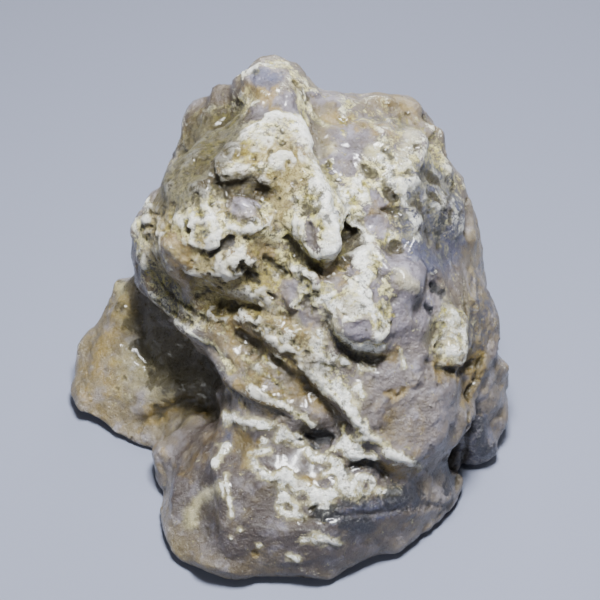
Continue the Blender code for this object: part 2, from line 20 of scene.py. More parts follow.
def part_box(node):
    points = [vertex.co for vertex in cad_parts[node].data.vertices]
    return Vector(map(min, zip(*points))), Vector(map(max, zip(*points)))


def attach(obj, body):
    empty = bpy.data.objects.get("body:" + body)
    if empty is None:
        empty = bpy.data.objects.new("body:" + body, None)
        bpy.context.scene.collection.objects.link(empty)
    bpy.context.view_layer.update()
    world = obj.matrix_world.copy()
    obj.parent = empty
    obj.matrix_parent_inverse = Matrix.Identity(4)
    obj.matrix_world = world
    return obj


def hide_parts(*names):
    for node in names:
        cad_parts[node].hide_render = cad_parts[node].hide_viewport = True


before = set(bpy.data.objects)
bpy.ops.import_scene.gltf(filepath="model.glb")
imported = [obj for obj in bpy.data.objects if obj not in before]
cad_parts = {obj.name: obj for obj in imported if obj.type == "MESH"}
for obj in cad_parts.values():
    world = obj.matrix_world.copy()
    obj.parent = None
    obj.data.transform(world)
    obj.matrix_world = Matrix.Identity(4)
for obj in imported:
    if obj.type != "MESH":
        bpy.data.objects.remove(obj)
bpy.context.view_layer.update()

LOG = logging.getLogger("stone")
MM = 0.001
WEATHER_SEED = 4
VIEW_MIDDLE = np.array([0.0, 2.0, 24.0])  # millimetres, the point that every viewer looks at
VIEW_REACH = 320.0  # millimetres from a viewer's eye to that point
VIEW_FIELD = 84.0  # millimetres across the picture at that point

PATH_STEP = 0.25  # millimetres between the places where a path is laid on the skin
NORMAL_REACH = 0.8  # millimetres along a path over which the skin's normals are evened out
SLANT = 0.35  # how much a height above a path counts as a distance from it
STAIN_EDGE = 1.5  # widths from a path where its stains end
STAIN_FADE = 1.1  # widths over which they fade
FACING_GAIN = 2.5  # how soon a stroke takes hold as the skin turns towards it
ZONE_EDGE = 1.2  # radii from a zone's middle where it ends
ZONE_FADE = 0.4  # radii over which it fades

RAGGED_GRAIN = 1.6  # millimetres
RAGGED_GAIN = 0.75
RAGGED_RANGE = (0.35, 2.2)
GROUND_CALM = 2.0  # millimetres above the ground where the small relief is whole
BOX_SLACK = 0.02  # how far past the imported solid's box the skin may stand, as a part of its size
EVENING_ROUNDS = 24  # how often the skin is evened out to find its hollows
HOLLOW_DEPTH = 0.9  # millimetres between the deepest hollow and the sharpest edge
SHELTER_RAYS = 12
SHELTER_REACH = 9.0  # millimetres
SHELTER_START = 0.15  # millimetres off the skin, where the rays set out
ASLANT = (0.31, 0.52, 0.80)  # a direction that no normal of the skin keeps to

Colour = tuple[float, float, float]
Place = tuple[float, float]
Socket = bpy.types.NodeSocket
Value = Socket | float
Tint = Socket | Colour


def shade(red: int, green: int, blue: int) -> Colour:
    """A colour picked on a screen, as the light that a shader works in.

    Args:
        red: Red from 0 to 255.
        green: Green from 0 to 255.
        blue: Blue from 0 to 255.

    Returns:
        The same colour as linear light.
    """
    parts = [part / 255 for part in (red, green, blue)]
    return tuple(part / 12.92 if part <= 0.04045 else ((part + 0.055) / 1.055) ** 2.4 for part in parts)


class Profile(Enum):
    """How a stroke's lift fades from its middle to its edge."""

    ROUND = "round"
    CREST = "crest"
    STEEP = "steep"

    def share(self, out: np.ndarray) -> np.ndarray:
        """The part of the lift that acts this far out.

        Args:
            out: The distance from the path, as a part of the width.

        Returns:
            The part of the lift, from 0 to 1.
        """
        inside = np.clip(1.0 - out, 0.0, 1.0)
        if self is Profile.CREST:
            return inside**1.5
        if self is Profile.STEEP:
            return 1.0 - (1.0 - inside) ** 2.6
        return (1.0 - np.clip(out, 0.0, 1.0) ** 2) ** 2


class Stain(Enum):
    """What can colour the surface; each is a value from 0 to 1 at every corner of the mesh."""

    RIND = "rind"
    CHALK = "chalk"
    OCHRE = "ochre"
    INK = "ink"
    LILAC = "lilac"
    TAN = "tan"
    SLATE = "slate"
    SMOKE = "smoke_and_shade"
    # SHADE is painted shade and painted shadow
    SHADE = "shade"
    SEAM = "seam"
    # HOLLOW and SHELTER measure the shape; the material paints shade from them
    HOLLOW = "hollow"
    SHELTER = "shelter_shade"


@dataclass(frozen=True)
class Viewer:
    """Someone looking at the middle of the stone.

    Attributes:
        azimuth: Degrees round the stone from its front, anticlockwise from above.
        elevation: Degrees above the ground.
    """

    azimuth: float
    elevation: float

    @property
    def across(self) -> np.ndarray:
        """The direction to the viewer's right."""
        turn = math.radians(self.azimuth)
        return np.array([math.cos(turn), math.sin(turn), 0.0])

    @property
    def near(self) -> np.ndarray:
        """The direction towards the viewer."""
        turn = math.radians(self.azimuth)
        tilt = math.radians(self.elevation)
        level = np.array([math.sin(turn), -math.cos(turn), 0.0])
        return level * math.cos(tilt) + np.array([0.0, 0.0, math.sin(tilt)])

    @property
    def up(self) -> np.ndarray:
        """The direction that the viewer sees as up."""
        return np.cross(self.near, self.across)

    def point(self, across: float, up: float, near: float = 0.0) -> np.ndarray:
        """A point that the viewer sees at a place, this near.

        Args:
            across: Millimetres to the right of the middle.
            up: Millimetres above the middle.
            near: Millimetres from the middle towards the viewer.

        Returns:
            The point in millimetres.
        """
        spread = (VIEW_REACH - near) / VIEW_REACH
        return VIEW_MIDDLE + spread * (across * self.across + up * self.up) + near * self.near

    def touch(self, tree: BVHTree, across: float, up: float) -> tuple[Vector | None, Vector | None]:
        """Where the line of sight through a place meets the skin.

        Args:
            tree: The skin, in millimetres.
            across: Millimetres to the right of the middle.
            up: Millimetres above the middle.

        Returns:
            The place on the skin and the skin's normal there, or None twice.
        """
        eye = VIEW_MIDDLE + VIEW_REACH * self.near
        place, normal, _, _ = tree.ray_cast(Vector(eye), Vector(self.point(across, up) - eye).normalized())
        return place, normal


FRONT = Viewer(0, 45)
LEFT = Viewer(-95, 15)
RIGHT = Viewer(95, 15)
BACK = Viewer(180, 20)


@dataclass(frozen=True)
class Stroke:
    """One stroke along a path, which lifts or sinks the skin and stains it.

    Attributes:
        profile: How the lift fades outwards.
        width: Millimetres from the path to the stroke's edge.
        lift: Millimetres up, or down when it is negative.
        path: Places in the front viewer's view.
        stains: What it leaves on the skin, and how much: less than 0 takes some away.
    """

    profile: Profile
    width: float
    lift: float
    path: tuple[Place, ...]
    stains: tuple[tuple[Stain, float], ...] = ()


@dataclass(frozen=True)
class Zone:
    """An ellipsoid within which the skin has more or less of a stain.

    Attributes:
        centre: Across, up and near in the viewer's view.
        radii: Along the same axes.
        stain: What it leaves on the skin.
        amount: How much, or less than 0 where it takes some away.
        turn: Degrees anticlockwise in the view.
        viewer: Whose view it is set out in.
    """

    centre: tuple[float, float, float]
    radii: tuple[float, float, float]
    stain: Stain
    amount: float = 1.0
    turn: float = 0.0
    viewer: Viewer = FRONT

    def hold(self, places: np.ndarray) -> np.ndarray:
        """How strongly the zone holds each place.

        Args:
            places: Places in millimetres, one row each.

        Returns:
            From 0 outside to 1 well inside.
        """
        turn = math.radians(self.turn)
        gaps = places - self.viewer.point(*self.centre)
        across = gaps @ self.viewer.across
        up = gaps @ self.viewer.up
        along = across * math.cos(turn) + up * math.sin(turn)
        aside = up * math.cos(turn) - across * math.sin(turn)
        spans = np.column_stack([along, aside, gaps @ self.viewer.near]) / np.array(self.radii)
        return np.clip((ZONE_EDGE - np.linalg.norm(spans, axis=1)) / ZONE_FADE, 0.0, 1.0)


def crack(width: float, depth: float, *path: Place, dirt: float = 0.7) -> Stroke:
    """A sharp crack with dirt in it."""
    return Stroke(Profile.CREST, 0.9 * width, -0.9 * depth, path, ((Stain.SEAM, dirt),))


def pit(
    width: float, depth: float, *path: Place, stain: Stain = Stain.SEAM, amount: float = 1.0
) -> Stroke:
    """A hole with a stain in it."""
    return Stroke(Profile.ROUND, 0.75 * width, -0.85 * depth, path, ((stain, 0.9 * amount),))


def flake(width: float, height: float, *path: Place, amount: float = 1.0) -> Stroke:
    """A patch of chalky crust that stands on the quartz."""
    stains = ((Stain.RIND, 0.8 * amount), (Stain.CHALK, 0.9 * amount))
    return Stroke(Profile.STEEP, 0.75 * width, height, path, stains)


def rim(width: float, height: float, *path: Place, amount: float = 0.9) -> Stroke:
    """A sharp rib of white rind."""
    stains = ((Stain.RIND, amount), (Stain.CHALK, 0.4 * amount))
    return Stroke(Profile.CREST, 0.7 * width, 0.7 * height, path, stains)


def ridge(width: float, lift: float, *path: Place) -> Stroke:
    """A sharp rib, or a sharp furrow when the lift is negative."""
    return Stroke(Profile.CREST, width, lift, path)


def swell(width: float, lift: float, *path: Place) -> Stroke:
    """A soft rise, or a soft dip when the lift is negative."""
    return Stroke(Profile.ROUND, width, lift, path)


def wash(stain: Stain, amount: float, width: float, *path: Place) -> Stroke:
    """A stain that leaves the skin as it is."""
    return Stroke(Profile.ROUND, width, 0.0, path, ((stain, amount),))


def chalk(amount: float, width: float, *path: Place) -> Stroke:
    """White rind, where there may have been none."""
    stains = ((Stain.RIND, 0.5 * amount), (Stain.CHALK, 0.8 * amount))
    return Stroke(Profile.ROUND, width, 0.0, path, stains)


def window(width: float, lift: float, *path: Place, amount: float = 1.0) -> Stroke:
    """A gap in the rind through which lavender quartz shows."""
    stains = ((Stain.RIND, -amount), (Stain.CHALK, -amount), (Stain.LILAC, 0.9 * amount))
    return Stroke(Profile.ROUND, width, lift, path, stains)


ZONES = (
    # Where the rind covers the quartz: all over the head, in patches on the right and behind
    Zone((-2.5, 15.5, 14.0), (8.5, 9.0, 14.0), Stain.RIND, 0.9),
    Zone((-3.0, 27.0, 10.0), (6.0, 7.5, 12.0), Stain.RIND, 0.5),
    Zone((-14.0, 18.0, 10.0), (7.0, 11.0, 14.0), Stain.RIND, 0.35),
    Zone((-14.0, 5.0, 12.0), (12.0, 10.0, 14.0), Stain.RIND, 0.72),
    Zone((-9.0, 3.5, 14.0), (6.0, 5.0, 12.0), Stain.RIND, 0.4),
    Zone((0.0, 5.0, 16.0), (9.0, 7.0, 12.0), Stain.RIND, 0.8),
    Zone((8.0, 2.0, 16.0), (5.5, 9.0, 12.0), Stain.RIND, 0.7),
    Zone((10.0, 15.0, 12.0), (4.5, 4.5, 12.0), Stain.RIND, 0.3, turn=20),
    Zone((18.0, 12.0, 9.0), (7.0, 10.0, 12.0), Stain.RIND, 0.22),
    Zone((22.0, -5.0, 7.0), (4.5, 5.5, 10.0), Stain.RIND, 0.4),
    Zone((0.0, -7.5, 14.0), (8.0, 3.2, 12.0), Stain.RIND, 0.5, turn=-40),
    Zone((-7.0, -11.0, 10.0), (5.0, 4.0, 10.0), Stain.RIND, 0.3),
    Zone((0.0, 12.0, 12.0), (24.0, 12.0, 14.0), Stain.RIND, 0.5, viewer=BACK),
    Zone((-6.0, -2.0, 16.0), (12.0, 8.0, 10.0), Stain.RIND, 0.3, viewer=BACK),
    Zone((14.0, 4.0, 14.0), (9.0, 12.0, 12.0), Stain.RIND, 0.35, viewer=RIGHT),
    # The tints of the quartz, with painted shade among them
    Zone((-24.0, -8.0, -13.0), (12.0, 17.0, 11.0), Stain.TAN, 0.66),
    Zone((-17.0, -31.0, 3.0), (4.5, 9.0, 12.0), Stain.TAN, 0.6),
    Zone((0.0, -40.0, 4.0), (30.0, 6.5, 14.0), Stain.TAN, 0.85),
    Zone((0.0, -20.0, 12.0), (34.0, 8.0, 20.0), Stain.TAN, 0.55, viewer=BACK),
    Zone((25.0, 1.0, 0.0), (4.0, 11.0, 10.0), Stain.TAN, 0.6),
    Zone((8.0, 23.0, 9.0), (9.0, 8.0, 12.0), Stain.LILAC, 0.75),
    Zone((13.0, -14.0, 12.0), (11.0, 10.0, 12.0), Stain.LILAC, 0.45),
    Zone((0.0, -26.0, 10.0), (16.0, 8.0, 12.0), Stain.LILAC, 0.6),
    Zone((15.0, 2.0, 15.0), (5.0, 7.0, 12.0), Stain.LILAC, 0.9),
    Zone((-20.0, -10.0, -10.0), (6.0, 5.0, 12.0), Stain.LILAC, 0.6),
    Zone((16.0, 12.0, 10.0), (9.0, 10.0, 12.0), Stain.LILAC, 0.8),
    # Smoky quartz; on the foot it is also painted shade
    Zone((-1.0, -29.0, 9.0), (17.0, 10.0, 14.0), Stain.SMOKE, 0.95),
    Zone((-13.0, -23.0, 6.0), (7.0, 8.0, 14.0), Stain.SMOKE, 0.95),
    Zone((20.0, 10.0, 7.0), (5.5, 9.0, 12.0), Stain.SMOKE, 0.4),
    Zone((-14.0, 21.0, 9.0), (8.0, 11.0, 12.0), Stain.SMOKE, 1.0),
    Zone((-20.0, 2.0, 6.0), (4.0, 5.0, 10.0), Stain.SMOKE, 0.6),
    Zone((5.0, -14.0, 12.0), (8.0, 7.0, 12.0), Stain.SMOKE, 0.2),
    Zone((8.0, 22.0, 9.0), (8.0, 7.0, 12.0), Stain.SMOKE, 0.3),
    Zone((18.5, 11.5, 8.0), (6.0, 8.0, 12.0), Stain.SLATE, 0.85),
    Zone((24.5, -20.0, -5.0), (3.5, 5.0, 8.0), Stain.SLATE, 0.6),
    Zone((10.0, -29.6, 9.0), (8.0, 1.6, 8.0), Stain.SLATE, 0.6, turn=8),
    # Darker olive patches on the left slope, and painted shade in the hollow neck and in the eye hollow
    # under the brow
    Zone((-15.0, 21.0, 10.0), (8.5, 10.0, 12.0), Stain.SHADE, 1.0),
    Zone((-3.0, -9.0, 12.0), (8.0, 5.0, 12.0), Stain.SHADE, 0.45, turn=-45),
    Zone((-7.5, 15.5, 14.0), (4.0, 2.0, 10.0), Stain.SHADE, 0.8),
    Zone((-15.0, 20.0, 10.0), (7.0, 13.0, 12.0), Stain.OCHRE, 0.3),
    Zone((-13.0, 3.0, 12.0), (11.0, 8.0, 12.0), Stain.OCHRE, 0.26),
    Zone((-4.0, -7.0, 11.0), (9.0, 6.0, 12.0), Stain.OCHRE, 0.2, turn=-40),
    Zone((-7.0, 20.0, 14.0), (4.0, 4.0, 12.0), Stain.OCHRE, 0.25),
    Zone((-6.0, 2.0, 16.0), (9.0, 9.0, 12.0), Stain.LILAC, 0.7, viewer=BACK),
    Zone((12.0, 8.0, 14.0), (7.0, 7.0, 12.0), Stain.OCHRE, 0.5, viewer=BACK),
    Zone((-2.0, -8.0, 20.0), (10.0, 5.0, 12.0), Stain.SLATE, 0.45, viewer=RIGHT),
    Zone((6.0, 8.0, 20.0), (8.0, 6.0, 12.0), Stain.OCHRE, 0.5, viewer=LEFT),
)

# The pointed crown and the rim that runs down from it
CROWN = (
    window(2.2, -0.5, (-6.2, 31.6), (-4.4, 31.2)),
    wash(Stain.SLATE, 0.9, 1.9, (-6.2, 31.6), (-4.4, 31.2)),
    rim(1.0, 0.4, (-8.0, 31.6), (-5.6, 33.0), (-2.0, 33.0)),
    wash(Stain.OCHRE, 0.9, 1.6, (-7.0, 29.5), (-5.0, 28.6), (-4.4, 29.6)),
    wash(Stain.OCHRE, 0.8, 1.1, (-3.4, 26.8)),
    window(1.7, 0.3, (-1.7, 28.2)),
    pit(1.0, 0.9, (-0.2, 30.0)),
    wash(Stain.OCHRE, 0.7, 1.5, (-0.2, 30.2)),
    pit(0.6, 0.5, (1.2, 28.6)),
    pit(0.6, 0.5, (0.9, 27.4)),
    window(1.6, -0.3, (-6.8, 25.8), (-4.0, 27.4), (-1.0, 26.8)),
    window(2.0, -0.4, (3.0, 27.4), (2.4, 24.0), (3.6, 20.6)),
    wash(Stain.TAN, 0.8, 2.0, (2.6, 26.6), (2.6, 23.4), (3.4, 21.4)),
    rim(0.9, 0.4, (0.2, 29.4), (1.6, 26.4), (3.6, 24.6)),
    rim(1.3, 0.5, (-9.8, 20.0), (-8.2, 22.4), (-5.8, 24.8), (-3.4, 26.0), (-1.2, 25.8)),
    pit(0.8, 0.8, (-2.6, 24.0), (-2.4, 23.6)),
    pit(0.6, 0.7, (-3.2, 22.9)),
    pit(0.7, 0.6, (-2.4, 22.2)),
    wash(Stain.OCHRE, 0.5, 1.9, (-2.6, 23.4)),
)

# The brow over the hollow on the left, with its streaks and cracks
BROW = (
    chalk(0.4, 3.0, (-6.0, 22.6), (-3.0, 24.0), (0.0, 22.4)),
    chalk(1.0, 1.8, (0.8, 24.0), (2.0, 20.0), (3.6, 16.0), (4.8, 12.0), (5.4, 8.4)),
    wash(Stain.OCHRE, 0.5, 1.4, (-1.6, 21.6), (-0.4, 18.4), (0.6, 15.4)),
    crack(0.4, 0.35, (-0.6, 20.4), (0.0, 18.4), (0.2, 16.8)),
    crack(0.4, 0.35, (1.6, 18.6), (1.9, 16.8), (1.7, 15.2)),
    crack(0.4, 0.3, (-2.0, 19.6), (-1.8, 17.4), (-2.2, 15.6)),
    wash(Stain.OCHRE, 1.0, 1.5, (-10.4, 20.4), (-8.8, 21.2)),
    wash(Stain.OCHRE, 0.6, 1.1, (-5.6, 19.8), (-3.2, 21.2), (0.0, 20.4)),
    window(1.4, -0.2, (0.2, 21.0), (1.2, 20.4), amount=0.5),
    crack(0.8, 0.9, (-12.2, 19.4), (-12.5, 17.6), (-11.4, 16.0), (-10.4, 15.0)),
    pit(1.5, 0.5, (-9.8, 15.4), (-8.4, 16.2), (-6.8, 16.2), (-5.0, 15.4), amount=0.5),
    wash(Stain.OCHRE, 0.7, 2.2, (-9.8, 15.6), (-8.2, 16.8), (-6.6, 16.8), (-4.6, 15.6)),
    crack(0.4, 0.3, (-6.2, 18.6), (-5.2, 17.6)),
    crack(0.4, 0.3, (-4.8, 18.8), (-5.6, 17.8)),
    wash(Stain.OCHRE, 0.8, 1.6, (-3.2, 11.6), (-2.8, 14.4), (-1.6, 17.0), (-0.8, 18.0)),
    wash(Stain.SEAM, -0.6, 3.0, (-3.6, 11.6), (-2.6, 15.4), (-0.6, 19.0), (0.0, 22.0)),
    crack(0.45, 0.35, (-0.8, 16.6), (-1.2, 15.0), (-0.6, 13.8)),
    crack(0.45, 0.35, (0.7, 16.0), (0.9, 14.6), (0.4, 13.2)),
    crack(0.4, 0.3, (2.4, 14.6), (2.9, 12.8)),
    pit(0.55, 0.5, (1.2, 13.0), (1.9, 12.4)),
    pit(0.5, 0.45, (3.6, 11.6), (4.0, 10.6)),
    # The lump in the hollow, its hairlines and its white rim
    window(3.0, 0.6, (-8.0, 13.2)),
    crack(0.4, 0.35, (-10.0, 14.2), (-8.4, 12.8), (-7.6, 10.9)),
    crack(0.4, 0.35, (-8.4, 15.0), (-7.2, 13.2), (-5.4, 12.6)),
    crack(0.4, 0.35, (-10.2, 12.0), (-9.0, 11.5), (-6.4, 10.8)),
    crack(0.35, 0.3, (-9.4, 15.0), (-6.2, 14.2), (-5.0, 13.4)),
    rim(1.1, 0.5, (-11.2, 15.2), (-11.2, 12.6), (-9.8, 10.2), (-6.6, 9.7), (-4.4, 10.6), (-3.6, 12.6)),
    rim(0.9, 0.35, (-9.8, 10.2), (-12.6, 8.6), (-14.6, 5.4)),
)

# The white beak that hangs from the brow, and the holes beside it
BEAK = (
    swell(2.4, 0.5, (2.8, 16.0), (3.8, 12.0), (4.8, 8.4)),
    rim(1.2, 0.5, (3.4, 14.0), (4.6, 11.0), (5.2, 8.0), (4.4, 6.6)),
    rim(1.0, 0.5, (-0.6, 12.4), (-0.6, 9.0), (0.6, 6.8), (2.6, 5.8)),
    window(1.0, -0.5, (1.2, 10.4), (1.6, 7.8)),
    wash(Stain.SMOKE, 0.6, 1.0, (1.2, 10.4), (1.6, 7.8)),
    pit(0.5, 0.5, (0.0, 11.9), (1.0, 12.6)),
    wash(Stain.SLATE, 0.45, 0.9, (5.2, 12.4), (5.8, 9.0), (5.4, 7.2)),
    pit(0.4, 0.4, (2.9, 9.0)),
    pit(0.4, 0.4, (4.2, 7.6)),
    pit(0.4, 0.4, (-0.4, 8.4)),
    crack(0.9, 1.0, (-1.9, 8.4), (-0.6, 6.4), (1.0, 5.2), (2.6, 4.5)),
    wash(Stain.OCHRE, 0.8, 1.5, (2.8, 4.6), (5.6, 4.9)),
    crack(1.0, 1.1, (-4.6, 5.7), (-3.4, 4.9), (-2.1, 3.8)),
    pit(1.5, 1.3, (6.6, 8.4), (7.3, 9.4)),
    wash(Stain.OCHRE, 0.7, 2.2, (7.8, 8.9)),
    pit(1.0, 0.9, (6.2, 5.4), (6.2, 6.0)),
    rim(0.9, 0.4, (6.8, 10.8), (8.8, 9.8), (9.8, 8.2)),
    crack(0.6, 0.6, (7.0, 7.2), (8.2, 7.9), (9.2, 7.9)),
    rim(1.1, 0.5, (-1.4, 4.4), (0.4, 4.0), (2.2, 3.4), (2.6, 2.6)),
    wash(Stain.INK, 0.35, 1.2, (-3.4, 9.2), (-2.6, 10.6)),
)

# The cheek under the hollow and the pits below it
CHEEK = (
    wash(Stain.OCHRE, 0.42, 4.6, (-12.0, 3.6), (-8.0, 6.4), (-5.0, 2.0)),
    wash(Stain.OCHRE, 0.5, 1.4, (-6.0, 7.6), (-4.0, 7.0)),
    window(1.6, -0.2, (-5.8, 6.4), (-4.2, 6.8), amount=0.5),
    pit(1.4, 1.2, (-7.8, 4.4), (-7.1, 3.4)),
    wash(Stain.INK, 0.6, 0.8, (-7.7, 4.0)),
    chalk(0.8, 1.6, (-8.6, 0.8), (-6.6, 0.2), (-4.4, -0.6), (-2.8, 0.6)),
    pit(0.6, 0.5, (-6.5, 1.3)),
    pit(0.7, 0.7, (-4.3, 0.8), (-3.7, 0.4)),
    pit(0.5, 0.5, (-5.9, 2.2)),
    chalk(0.8, 1.3, (-3.2, 3.4)),
    window(2.0, 0.5, (-1.7, 1.5), (-1.3, 0.2)),
    rim(0.8, 0.35, (0.6, 2.6), (0.3, 0.6), (-0.8, -1.0)),
    crack(0.5, 0.5, (0.0, 4.0), (0.1, 2.4)),
    crack(0.7, 0.7, (0.5, -0.9), (1.0, -0.1), (1.6, -0.5), (1.7, -1.6)),
    chalk(0.9, 1.5, (3.6, -0.8), (5.2, -1.4), (6.6, -1.8)),
    window(1.3, 0.0, (-0.4, -2.6), (1.2, -3.6)),
    chalk(0.9, 0.8, (-0.4, -3.0), (-0.2, -3.6)),
    swell(1.9, 0.9, (-10.0, -2.4), (-7.0, -2.6), (-4.0, -3.2), (-1.0, -4.8)),
    # Painted shade along the cheek's lower edge
    wash(Stain.INK, 0.3, 1.3, (-9.6, -0.6), (-6.4, -0.9), (-3.6, -1.8)),
)

# The ribbed knob at the head's left end, the edge of the overhang, and the painted shadow under them
KNOB = (
    rim(0.9, 0.45, (-22.4, 12.6), (-21.2, 13.3), (-20.0, 12.7), (-18.9, 13.4)),
    rim(0.8, 0.35, (-22.9, 11.4), (-21.6, 11.0), (-20.4, 11.5)),
    rim(0.8, 0.3, (-19.9, 10.9), (-18.7, 10.3)),
    rim(0.9, 0.4, (-22.0, 9.3), (-20.4, 9.6), (-19.0, 9.1), (-17.8, 9.9)),
    crack(0.7, 0.45, (-22.3, 12.1), (-20.6, 12.2), (-19.3, 11.9)),
    crack(0.7, 0.4, (-22.1, 10.3), (-20.9, 10.3), (-20.0, 9.9)),
    crack(0.6, 0.35, (-21.4, 8.3), (-19.9, 8.6)),
    wash(Stain.OCHRE, 0.5, 2.4, (-21.6, 13.2), (-19.6, 11.4)),
    # The pale ring beside the knob
    rim(0.8, 0.45, (-15.4, 10.4), (-15.0, 8.0), (-13.2, 6.9), (-11.4, 8.0), (-11.2, 10.2), (-12.6, 11.4)),
    rim(0.8, 0.4, (-12.6, 11.4), (-14.2, 11.4), (-15.4, 10.4)),
    swell(1.8, -0.5, (-13.2, 9.4)),
    wash(Stain.OCHRE, 0.8, 1.0, (-13.6, 7.9)),
    wash(Stain.SLATE, 0.5, 1.3, (-13.3, 9.6)),
    rim(0.7, 0.35, (-16.4, 14.6), (-15.4, 12.4), (-14.6, 11.2)),
    rim(0.7, 0.35, (-13.4, 15.2), (-13.0, 13.2), (-12.4, 12.0)),
    crack(0.6, 0.5, (-14.6, 14.8), (-14.2, 12.8), (-13.8, 11.8)),
    pit(0.6, 0.6, (-16.0, 10.8), (-15.9, 9.8)),
    pit(0.6, 0.6, (-12.4, 13.4)),
    window(1.9, 0.3, (-18.4, 8.0), (-17.2, 6.2)),
    chalk(0.8, 0.9, (-18.0, 7.4), (-17.2, 6.4)),
    pit(0.9, 0.7, (-20.3, 4.9)),
    wash(Stain.OCHRE, 1.0, 1.3, (-15.8, 7.2), (-15.2, 5.6)),
    wash(Stain.OCHRE, 0.8, 1.4, (-15.3, 2.4), (-14.4, 3.4), (-12.8, 2.2)),
    pit(0.8, 0.9, (-12.6, 6.2), (-11.2, 7.2), (-9.8, 8.2), stain=Stain.SLATE),
    # Painted shade under the knob and along the overhang's edge
    wash(Stain.SHADE, 0.4, 3.0, (-21.4, 4.6), (-19.8, 1.4), (-17.4, -0.6)),
    window(1.8, 0.0, (-17.4, 3.6), (-16.2, 1.6), amount=0.6),
    crack(0.5, 0.4, (-19.4, 2.4), (-17.4, 0.2), (-15.0, -1.6), (-13.0, -2.8)),
    crack(0.5, 0.4, (-20.4, 0.2), (-18.2, -1.6), (-15.4, -3.4)),
    rim(0.6, 0.3, (-21.0, 1.0), (-19.0, -1.2), (-17.0, -3.0), (-15.0, -4.9), (-12.0, -6.5), (-9.6, -9.8)),
    # Painted shadow that the overhang casts on the wing below it
    wash(Stain.SHADE, 0.9, 4.0, (-20.0, -7.0), (-17.0, -10.4), (-14.0, -12.4)),
    wash(Stain.SHADE, 1.0, 3.4, (-22.6, 1.6), (-20.4, -3.4), (-18.0, -7.2), (-15.0, -9.8), (-12.0, -11.0)),
)

# The hollow neck and the long ribs that cross it
NECK = (
    wash(Stain.OCHRE, 0.36, 4.4, (-9.0, -5.0), (-5.0, -8.0), (-1.0, -11.0)),
    rim(0.5, 0.25, (-8.6, -5.4), (-5.6, -7.6), (-3.0, -10.2), amount=0.5),
    rim(0.5, 0.25, (-7.8, -8.2), (-4.8, -10.4), (-1.6, -12.8), amount=0.5),
    wash(Stain.OCHRE, 0.6, 1.6, (-8.0, -2.0), (-4.0, -2.5), (0.0, -4.8)),
    wash(Stain.OCHRE, 0.6, 1.6, (-7.4, -3.8), (-4.4, -6.2), (-1.4, -8.4), (1.4, -12.2), (4.6, -15.8)),
    ridge(1.2, -0.6, (-5.4, -5.6), (-1.6, -8.6), (1.2, -12.0), (4.6, -15.6), (7.0, -17.8)),
    rim(
        1.3, 0.6, (-5.6, -3.4), (-3.2, -4.8), (-0.6, -7.2),
        (1.4, -9.8), (3.8, -12.4), (6.2, -14.9), (8.2, -17.2),
    ),
    rim(1.0, 0.45, (8.2, -17.2), (9.8, -19.0), (12.0, -20.8), (14.4, -22.2)),
    chalk(0.9, 1.1, (2.2, -5.6), (2.4, -8.0), (3.0, -9.6)),
    chalk(0.9, 1.0, (5.2, -11.6), (6.4, -13.4), (7.4, -14.8)),
    pit(0.5, 0.5, (1.0, -7.4)),
    pit(0.5, 0.5, (5.0, -13.2)),
    pit(0.7, 0.6, (-6.8, -7.4)),
    rim(0.9, 0.4, (-7.0, -12.4), (-4.6, -13.6), (-2.0, -15.0), (0.2, -16.4), (1.6, -17.4)),
    crack(0.8, 0.5, (-9.6, -12.9), (-7.2, -14.2), (-4.4, -15.2), (-1.6, -16.6)),
    wash(Stain.OCHRE, 0.7, 1.8, (-9.0, -13.0), (-5.0, -14.8)),
    ridge(0.8, -0.3, (-3.0, -11.4), (-1.2, -14.0)),
    ridge(0.8, -0.3, (-0.8, -11.6), (0.4, -14.4)),
    ridge(0.8, -0.3, (0.8, -12.6), (1.8, -15.2)),
    pit(1.4, 1.3, (1.2, -19.0), (2.6, -19.5), (4.0, -19.2)),
    wash(Stain.INK, 0.8, 1.1, (1.2, -19.0), (2.6, -19.5), (4.0, -19.2)),
    crack(0.8, 0.8, (7.1, -23.5), (9.1, -22.6), (10.5, -23.1), (12.0, -24.6)),
    wash(Stain.INK, 0.5, 1.0, (7.1, -23.5), (9.1, -22.6), (11.7, -24.4)),
    # The star of crust where the rib ends
    rim(0.5, 0.35, (6.4, -19.6), (8.6, -18.2)),
    rim(0.5, 0.35, (6.4, -19.6), (9.6, -19.4)),
    rim(0.5, 0.35, (6.4, -19.6), (8.8, -21.4)),
    rim(0.5, 0.35, (6.4, -19.6), (6.0, -17.6)),
    rim(0.5, 0.35, (6.4, -19.6), (3.8, -21.4)),
    flake(1.0, 0.25, (5.8, -20.2), (7.8, -21.6), (10.4, -22.0)),
    flake(0.9, 0.25, (12.4, -21.4), (15.0, -22.6), (17.0, -23.6)),
    wash(Stain.OCHRE, 0.8, 1.3, (11.8, -23.4), (14.0, -24.0), (16.4, -23.8)),
)

